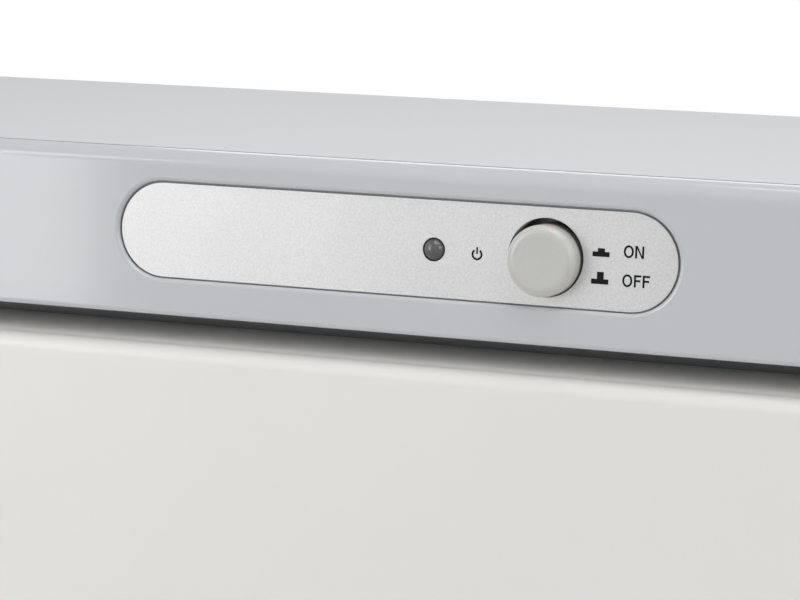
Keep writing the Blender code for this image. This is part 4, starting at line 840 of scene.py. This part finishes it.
def make_liner():
    """The door's inner sheet, stepped round the hinge blocks, with a fold on top and a shallow field."""
    low, high = LINER_Z
    step_x = BLOCK_INNER - GAP
    step_z = BLOCK_TOP + GAP
    corner = LINER_CORNER
    outline = [(-step_x, low), (step_x, low), (step_x, step_z), (LINER_HALF, step_z)]
    outline += arc((LINER_HALF - corner, high - corner), corner, 0, 90, 5)
    outline += arc((corner - LINER_HALF, high - corner), corner, 90, 180, 5)
    outline += [(-LINER_HALF, step_z), (-step_x, step_z)]
    liner = prism("liner", outline, LINER_FRONT, DOOR_THICK)
    fold = block("liner_fold", (-LINER_HALF, LINER_HALF), LINER_FOLD_DEPTH, (high - corner, high))
    carve(liner, fold, operation="UNION")
    rings = []
    for grow, depth in ((1.3, DOOR_THICK + 0.2), (1.0, DOOR_THICK - 0.1), (0.0, DOOR_THICK - 1.0)):
        x = (-FIELD_HALF - grow, FIELD_HALF + grow)
        z = (FIELD_Z[0] - grow, FIELD_Z[1] + grow)
        rings.append(at_depth(rounded(x, z, FIELD_CORNER + grow, FIELD_CORNER + grow), depth))
    carve(liner, loft("liner_field", rings))
    soften(liner, 0.4, 2)
    finish_piece(liner, "door", "frame", "door_liner")


def make_gasket():
    """A bulb on a flat foot, run round the mouth; section points are offsets outwards and depths."""
    section = [(0.3, 27.3), (5.7, 27.3), (6.0, 27.6), (5.8, 28.1), (4.9, 28.4)]
    section += arc((3.0, 28.85), 1.85, -8, 188, 16) + [(1.1, 28.4), (0.2, 28.1), (0.0, 27.6)]
    margin = 2.5
    rings = [at_depth(mouth(margin + offset), depth) for offset, depth in section]
    seal = loft("bulb_seal", rings + rings[:1])
    smooth(seal, 50)
    finish_piece(seal, "door", "gasket", "door_gasket")


def make_catches():
    """Strike plates on the door, and magnet catches with two pole strips each on the cabinet."""
    for name, sign in SIDES:
        centre = sign * CATCH_X
        x = span(centre, CATCH_SIZE[0])
        z = span(CATCH_Z, CATCH_SIZE[1])
        strike = prism(f"strike_{name}", rounded(x, z, 1.5, 1.5, 5), *STRIKE_DEPTH)
        soften(strike, 0.2, 2)
        finish_piece(strike, "door", "zinc_steel", f"strike_plate_{name}")
        catch = prism(f"catch_{name}", rounded(x, z, 2, 2, 6), *CATCH_DEPTH)
        stem_x = span(centre, CATCH_STEM[0])
        stem_z = span(CATCH_Z, CATCH_STEM[1])
        stem = block(f"catch_stem_{name}", stem_x, CATCH_STEM_DEPTH, stem_z)
        carve(catch, stem, operation="UNION")
        soften(catch, 0.35, 2)
        finish_piece(catch, "cabinet", "black_plastic", f"magnet_catch_{name}")
        groups = []
        for across in (-POLE_ACROSS, POLE_ACROSS):
            pole_x = span(centre + across, POLE_SIZE[0])
            outline = rounded(pole_x, span(CATCH_Z, POLE_SIZE[1]), 0.3, 0.3, 3)
            groups.append([at_depth(outline, depth) for depth in POLE_DEPTH])
        poles = solids(f"poles_{name}", groups)
        smooth(poles)
        finish_piece(poles, "cabinet", "zinc_steel")


def make_hinges():
    """Cheeks on the cabinet, rounded about the hinge line, and the pins that the door turns on."""
    depth, z = HINGE
    outline = [(CHEEK_BACK, CHEEK_FOOT), (CHEEK_BACK, z + CHEEK_ROUND)]
    outline += arc(HINGE, CHEEK_ROUND, 90, 180, 16)
    outline.append((depth - CHEEK_ROUND, CHEEK_FOOT))
    for name, sign in SIDES:
        inner, outer = sorted((sign * CHEEK_INNER, sign * HINGE_END))
        cheek = prism(f"cheek_{name}", outline, inner, outer, "x")
        bore = (inner - PAST, outer + PAST)
        carve(cheek, rod(f"cheek_bore_{name}", HINGE, HINGE_BORE, bore, 40, "x"))
        soften(cheek, 0.5, 2)
        finish_piece(cheek, "cabinet", "frame", f"hinge_cheek_{name}")
        start, end = sorted((sign * PIN_INNER, sign * HINGE_END))
        profile = [(PIN_RADIUS - PIN_BEVEL, start), (PIN_RADIUS, start + PIN_BEVEL)]
        profile += [(PIN_RADIUS, end - PIN_BEVEL), (PIN_RADIUS - PIN_BEVEL, end)]
        pin = turned(f"pin_{name}", HINGE, profile, 40, "x")
        smooth(pin)
        finish_piece(pin, "cabinet", "fasteners", f"hinge_pin_{name}")


# Chamber and its mouth
def mouth(grow=0.0):
    """The chamber's rounded mouth, grown on every side."""
    half = CHAMBER_HALF + grow
    z = (CHAMBER_Z[0] - grow, CHAMBER_Z[1] + grow)
    return rounded((-half, half), z, CHAMBER_CORNER + grow, CHAMBER_CORNER + grow)


def make_mouth_frame():
    outline = rounded((-FRAME_HALF, FRAME_HALF), FRAME_Z, FRAME_CORNER, FRAME_CORNER, 3)
    surround = prism("surround", outline, *FRAME_DEPTH)
    cutters = [prism("surround_mouth", mouth(), *THROUGH_FRAME)]
    wide, tall = [size + 2 * GAP for size in CATCH_STEM]
    for name, sign in SIDES:
        x = span(sign * CATCH_X, wide)
        cutters.append(block(f"surround_{name}", x, THROUGH_FRAME, span(CATCH_Z, tall)))
    carve(surround, *cutters)
    soften(surround, 0.5)
    finish_piece(surround, "cabinet", "mouth_frame", "front_frame")


def make_chamber():
    """A drawn tank with a flange round its mouth and a rounded heel at its back."""
    front, back = CHAMBER_DEPTH
    heel = CHAMBER_HEEL
    tank = prism("tank", mouth(CHAMBER_WALL), front, back + CHAMBER_WALL)
    rim = prism("tank_rim", mouth(CHAMBER_FLANGE), front, front + CHAMBER_WALL)
    carve(tank, rim, operation="UNION")
    rings = [at_depth(mouth(), front - PAST)]
    steps = 8
    for i in range(steps + 1):
        turn = math.pi / 2 * i / steps
        depth = back - heel + heel * math.sin(turn)
        rings.append(at_depth(mouth(heel * (math.cos(turn) - 1)), depth))
    carve(tank, loft("tank_inside", rings))
    smooth(tank)
    finish_piece(tank, "cabinet", "chamber", "inner_chamber")


# Round stock, with its ends rounded off: share of the radius and distance from the end in radii
END_ROUND = ((0.35, 0.0), (0.75, 0.12), (0.94, 0.35), (1.0, 0.75))


def tube(path, radius, side, steps=16):
    """Rings of a round bar along a path; side is a direction that the path never takes."""
    points = [Vector(point) for point in path]
    first = (points[1] - points[0]).normalized()
    last = (points[-1] - points[-2]).normalized()
    stops = [(points[0] + first * along * radius, first, radius * share) for share, along in END_ROUND]
    for before, place, after in zip(points, points[1:], points[2:]):
        stops.append((place, (after - before).normalized(), radius))
    for share, along in END_ROUND[::-1]:
        stops.append((points[-1] - last * along * radius, last, radius * share))
    rings = []
    for place, ahead, size in stops:
        across = ahead.cross(Vector(side)).normalized()
        up = across.cross(ahead)
        rings.append([place + across * u + up * v for u, v in circle(size, steps)])
    return rings


def make_rack():
    """Two bent side rails that stand on the chamber's floor, with nine bars across them."""
    front, back = 47.3, 228.3
    foot_z, rail_z, bend = 52.3, 66.0, 6.0
    rail_x, rail_radius = 181.0, 2.0
    bar_half, bar_z, bar_radius = 186.0, 68.8, 1.5
    first_bar, bar_run, spaces = 59.3, 157.0, 8
    path = [(front, foot_z), *arc((front + bend, rail_z - bend), bend, 180, 90)]
    path += [*arc((back - bend, rail_z - bend), bend, 90, 0), (back, foot_z)]
    groups = []
    for name, sign in SIDES:
        rail = [(sign * rail_x, depth, z) for depth, z in path]
        groups.append(tube(rail, rail_radius, (1, 0, 0)))
    for i in range(spaces + 1):
        depth = first_bar + bar_run * i / spaces
        groups.append(tube([(-bar_half, depth, bar_z), (bar_half, depth, bar_z)], bar_radius, (0, 1, 0)))
    rack = solids("rack", groups)
    smooth(rack)
    finish_piece(rack, "cabinet", "rack_wire", "wire_rack")


def make_spring():
    """The button's return coil, an even helix running back from behind the cap towards the switch."""
    turns, around = 6, 24
    coil, wire = 4.1, 0.4
    front, back = -0.5, 13.8
    path = []
    for i in range(turns * around + 1):
        angle = 2 * math.pi * i / around
        depth = front + (back - front) * i / (turns * around)
        path.append((BUTTON_X + coil * math.cos(angle), depth, BUTTON_Z + coil * math.sin(angle)))
    spring = loft("return_coil", tube(path, wire, (0, 1, 0), 10))
    smooth(spring)
    finish_piece(spring, "cabinet", "fasteners", "switch_spring")
    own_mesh(spring)


# Drip tray
def make_tray():
    """A shallow tray with a taller front; the well goes from its round-edged floor up past the rim."""
    tray = prism("tray", rounded((-TRAY_HALF, TRAY_HALF), TRAY_Z, 2.5, 0, 6), *TRAY_DEPTH)
    outline = rounded((-TRAY_FACE_HALF, TRAY_FACE_HALF), TRAY_FACE_Z, 1.5, 1.5, 5)
    carve(tray, prism("tray_face", outline, *TRAY_FACE_DEPTH), operation="UNION")
    front, back = WELL_DEPTH
    rings = []
    for inset, z in ((3.0, 13.5), (1.6, 13.8), (0.5, 14.7), (0.0, 16.5), (0.0, 40.0)):
        x = (inset - WELL_HALF, WELL_HALF - inset)
        corner = WELL_CORNER - inset
        outline = rounded(x, (front + inset, back - inset), corner, corner)
        rings.append([(u, depth, z) for u, depth in outline])
    carve(tray, loft("tray_well", rings))
    soften(tray, 0.4, 2, 50)
    finish_piece(tray, "drip_tray", "frame", "drip_tray")


# Feet
def make_feet():
    """Rubber feet with a grip ring, and a well for the screw's head."""
    profile = [(2.2, 9.7), (11.5, 9.7), (12.0, 9.2), (10.6, 1.2), (10.1, 0.4), (9.3, 0.0), (8.4, 0.0)]
    profile += [(8.1, 0.5), (7.1, 0.5), (6.8, 0.0), (4.6, 0.0), (4.3, 0.3)]
    profile += [(4.3, FOOT_WELL), (2.2, FOOT_WELL)]
    for name, sign in SIDES:
        for row, depth in FOOT_ROWS:
            rings = turned_rings((sign * FOOT_X, depth), profile, 48, "z")
            foot = loft(f"rubber_{row}_{name}", rings + rings[:1])
            smooth(foot)
            finish_piece(foot, "cabinet", "rubber_feet", f"foot_{row}_{name}")


# Back
def make_rear():
    """The rear sheet, with a window for the inlet and a row of vent slots."""
    inner = HALF - SHEET
    outline = rounded((-inner, inner), (WRAP_BOTTOM, TOP - SHEET), 0, WRAP_BEND)
    panel = prism("rear_sheet", outline, *REAR_DEPTH)
    wide, tall = [size + 2 * GAP for size in INLET_BODY]
    cutters = [block("rear_window", span(INLET_X, wide), THROUGH_REAR, span(INLET_Z, tall))]
    for i in range(VENT_COUNT):
        z = span(VENT_TOP - VENT_PITCH * i, VENT_HEIGHT)
        cutters.append(prism(f"vent_{i}", rounded(VENT_X, z, VENT_END, VENT_END, 6), *THROUGH_REAR))
    carve(panel, *cutters)
    soften(panel, 0.25, 2)
    finish_piece(panel, "cabinet", "casing_paint", "rear_panel")


def make_inlet():
    """The mains inlet: a block with a plate, a socket with two cut corners, and three flat pins."""
    inlet = block("inlet", span(INLET_X, INLET_BODY[0]), INLET_BODY_DEPTH, span(INLET_Z, INLET_BODY[1]))
    outline = rounded(span(INLET_X, INLET_PLATE[0]), span(INLET_Z, INLET_PLATE[1]), 3, 3, 6)
    carve(inlet, prism("inlet_plate", outline, *INLET_PLATE_DEPTH), operation="UNION")
    left, right = span(INLET_X, SOCKET[0])
    low, high = span(INLET_Z, SOCKET[1])
    crown_left, crown_right = span(INLET_X, SOCKET_CROWN)
    shoulder = INLET_Z + SOCKET_SHOULDER
    socket = [(left, low), (right, low), (right, shoulder), (crown_right, high)]
    socket += [(crown_left, high), (left, shoulder)]
    carve(inlet, prism("socket", socket, *SOCKET_DEPTH))
    soften(inlet, 0.4, 2)
    finish_piece(inlet, "cabinet", "black_plastic", "power_inlet")
    groups = []
    for across, rise in CONTACTS:
        rings = []
        for inset, depth in CONTACT_TAPER:
            x = span(INLET_X + across, CONTACT_SIZE[0] - 2 * inset)
            z = span(INLET_Z + rise, CONTACT_SIZE[1] - 2 * inset)
            rings.append(at_depth(rounded(x, z, 0.3, 0.3, 3), depth))
        groups.append(rings)
    pins = solids("inlet_pins", groups)
    smooth(pins)
    finish_piece(pins, "cabinet", "fasteners")


# Screws: radius and height of the head, then radius and length of the shank
REAR_SCREW = (3.2, 2.2, 1.5, 8.0)
LINER_SCREW = (3.5, 1.6, 1.5, 12.0)
INLET_SCREW = (2.8, 1.5, 1.5, 8.0)
FOOT_SCREW = (4.0, 2.4, 2.0, 8.0)
SCREW_TIP = 1.2
REAR_SCREW_X = 218.0
REAR_SCREW_ROWS = (("low", 32.0), ("high", 214.0))
INLET_SCREW_ACROSS = 20.0

# A pan head from its rim to its crown, in shares of its radius and height
HEAD_ROUND = ((1.0, 0.4), (0.98, 0.62), (0.92, 0.8), (0.8, 0.92), (0.6, 0.985), (0.1, 1.0))


def cross(reach, width):
    """A plus sign's outline, made of one arm turned by quarters."""
    arm = [(reach, -width), (reach, width), (width, width)]
    outline = []
    for quarter in range(4):
        outline += arm
        arm = [(-v, u) for u, v in arm]
    return outline


def make_screw(name, body, centre, base, way, sizes, axis="depth"):
    """A pan head screw with a cross recess: the head's underside is at base, and way is its side."""
    radius, height, thick, length = sizes
    profile = [(thick * 0.4, base - way * length), (thick, base - way * (length - SCREW_TIP))]
    profile += [(thick, base), (radius, base)]
    profile += [(radius * share, base + way * height * rise) for share, rise in HEAD_ROUND]
    screw = turned(f"{name}_pan", centre, profile, 32, axis)
    place = axis_place(centre, axis)
    rings = []
    for reach, width, rise in ((0.6, 0.17, 1.1), (0.28, 0.1, 0.45)):
        outline = cross(reach * radius, width * radius)
        rings.append([place(u, v, base + way * height * rise) for u, v in outline])
    carve(screw, loft(f"{name}_recess", rings))
    smooth(screw)
    finish_piece(screw, body, "fasteners", name)


def make_screws():
    rear = REAR_DEPTH[1] + GAP
    liner = DOOR_THICK + GAP
    inlet = INLET_PLATE_DEPTH[1] + GAP
    foot = FOOT_WELL - GAP
    for name, sign in SIDES:
        for row, z in REAR_SCREW_ROWS:
            place = (sign * REAR_SCREW_X, z)
            make_screw(f"rear_screw_{row}_{name}", "cabinet", place, rear, 1, REAR_SCREW)
        for row, z in LINER_SCREW_ROWS:
            place = (sign * LINER_SCREW_X, z)
            make_screw(f"liner_screw_{row}_{name}", "door", place, liner, 1, LINER_SCREW)
        place = (INLET_X + sign * INLET_SCREW_ACROSS, INLET_Z)
        make_screw(f"inlet_screw_{name}", "cabinet", place, inlet, 1, INLET_SCREW)
        for row, depth in FOOT_ROWS:
            place = (sign * FOOT_X, depth)
            make_screw(f"foot_screw_{row}_{name}", "cabinet", place, foot, -1, FOOT_SCREW, "z")


# Scene
AMBIENT = 0.05
FLOOR_REACH = 3.0
FLOOR_FADE = (0.45, 1.7)


def make_camera():
    data = bpy.data.cameras.new("camera")
    data.lens = 137.187
    data.sensor_width = 36
    data.clip_start = 0.01
    camera = add_object("camera", data)
    right = Vector((0.92453084, 0.37992575, 0.02998595))
    down = Vector((0.07164397, -0.09598449, -0.99280115))
    ahead = Vector((-0.37431254, 0.92002359, -0.11596001))
    turn = Matrix((right, -down, -ahead)).transposed().to_4x4()
    camera.matrix_world = Matrix.Translation(world((PANEL_X + 248.26, -602.98, 282.31))) @ turn
    bpy.context.scene.camera = camera


def make_soft_box(name, place, target, size, radiance):
    """A light of the given width and height in metres and brightness, facing the target."""
    data = bpy.data.lights.new(name, "AREA")
    data.shape = "RECTANGLE"
    data.size, data.size_y = size
    data.energy = radiance * size[0] * size[1] * math.pi
    card = add_object(name, data)
    card.location = place
    card.rotation_euler = (Vector(target) - Vector(place)).to_track_quat("-Z", "Y").to_euler()
    card.visible_camera = False


def seen_rays(nodes, links):
    """One for camera, glossy and transmission rays, which show the backdrop, and zero for the rest."""
    ray = nodes.new("ShaderNodeLightPath")
    total = ray.outputs["Is Camera Ray"]
    for kind in ("Is Glossy Ray", "Is Transmission Ray"):
        either = nodes.new("ShaderNodeMath")
        either.operation = "MAXIMUM"
        links.new(total, either.inputs[0])
        links.new(ray.outputs[kind], either.inputs[1])
        total = either.outputs["Value"]
    return total


def make_world():
    studio = bpy.data.worlds.new("studio")
    studio.use_nodes = True
    bpy.context.scene.world = studio
    nodes = studio.node_tree.nodes
    links = studio.node_tree.links
    ambient = nodes["Background"]
    ambient.inputs["Color"].default_value = (1, 1, 1, 1)
    ambient.inputs["Strength"].default_value = AMBIENT
    backdrop = nodes.new("ShaderNodeBackground")
    backdrop.inputs["Color"].default_value = (1, 1, 1, 1)
    mix = nodes.new("ShaderNodeMixShader")
    links.new(seen_rays(nodes, links), mix.inputs["Fac"])
    links.new(ambient.outputs["Background"], mix.inputs[1])
    links.new(backdrop.outputs["Background"], mix.inputs[2])
    links.new(mix.outputs["Shader"], nodes["World Output"].inputs["Surface"])


def fade_out(paper, near, far):
    """Lets the floor turn into the white backdrop between two distances from the object's middle."""
    nodes = paper.node_tree.nodes
    links = paper.node_tree.links
    place = nodes.new("ShaderNodeNewGeometry")
    reach = nodes.new("ShaderNodeVectorMath")
    reach.operation = "LENGTH"
    links.new(place.outputs["Position"], reach.inputs[0])
    fade = nodes.new("ShaderNodeMapRange")
    fade.interpolation_type = "SMOOTHSTEP"
    fade.inputs["From Min"].default_value = near
    fade.inputs["From Max"].default_value = far
    links.new(reach.outputs["Value"], fade.inputs["Value"])
    share = nodes.new("ShaderNodeMath")
    share.operation = "MULTIPLY"
    links.new(fade.outputs["Result"], share.inputs[0])
    links.new(seen_rays(nodes, links), share.inputs[1])
    white = nodes.new("ShaderNodeEmission")
    mix = nodes.new("ShaderNodeMixShader")
    links.new(share.outputs["Value"], mix.inputs["Fac"])
    links.new(nodes["Principled BSDF"].outputs["BSDF"], mix.inputs[1])
    links.new(white.outputs["Emission"], mix.inputs[2])
    links.new(mix.outputs["Shader"], nodes["Material Output"].inputs["Surface"])


def make_floor():
    mesh = bpy.data.meshes.new("floor")
    corners = [(x, y, 0) for x, y in bar(-FLOOR_REACH, -FLOOR_REACH, FLOOR_REACH, FLOOR_REACH)]
    mesh.from_pydata(corners, [], [(0, 1, 2, 3)])
    floor = add_object("floor", mesh)
    paper = finish("floor_paper", (236, 236, 236), 0.01, (0.8, 0.9), 200, 1.0, 5.0)
    fade_out(paper, *FLOOR_FADE)
    mesh.materials.append(paper)


bpy.context.scene.view_settings.view_transform = "Standard"
make_camera()
make_world()
make_floor()
make_soft_box("top_box", (0.45, -0.35, 1.5), (0.30, -0.10, 0.2), (1.1, 1.0), 3.6)
make_soft_box("left_card", (-1.006, -1.180, 0.24), (0.03, -0.13, 0.24), (0.88, 0.6), 3.8)
make_soft_box("key_box", (-0.95, -1.10, 0.80), (0.10, -0.13, 0.22), (0.7, 0.7), 3.7)
make_soft_box("right_card", (1.20, -0.62, 0.65), (0.13, -0.13, 0.22), (0.4, 0.6), 6.3)
make_soft_box("rear_card", (-0.25, 1.30, 1.5), (0.0, 0.13, 0.12), (1.3, 0.9), 2.4)

for row in frame["record"]["subparts"]:
    NODES[row["node"]].material_slots[0].material = FINISHES[row["material_slot"]]

make_fascia()
make_plate()
make_button()
make_lamp()
make_marks()
make_wrap()
make_door()
make_liner()
make_gasket()
make_catches()
make_hinges()
make_mouth_frame()
make_chamber()
make_rack()
make_spring()
make_tray()
make_feet()
make_rear()
make_inlet()
make_screws()
for node in ("base_pan", "tray_guide_left", "tray_guide_right"):
    refine(NODES[node], 0.3)
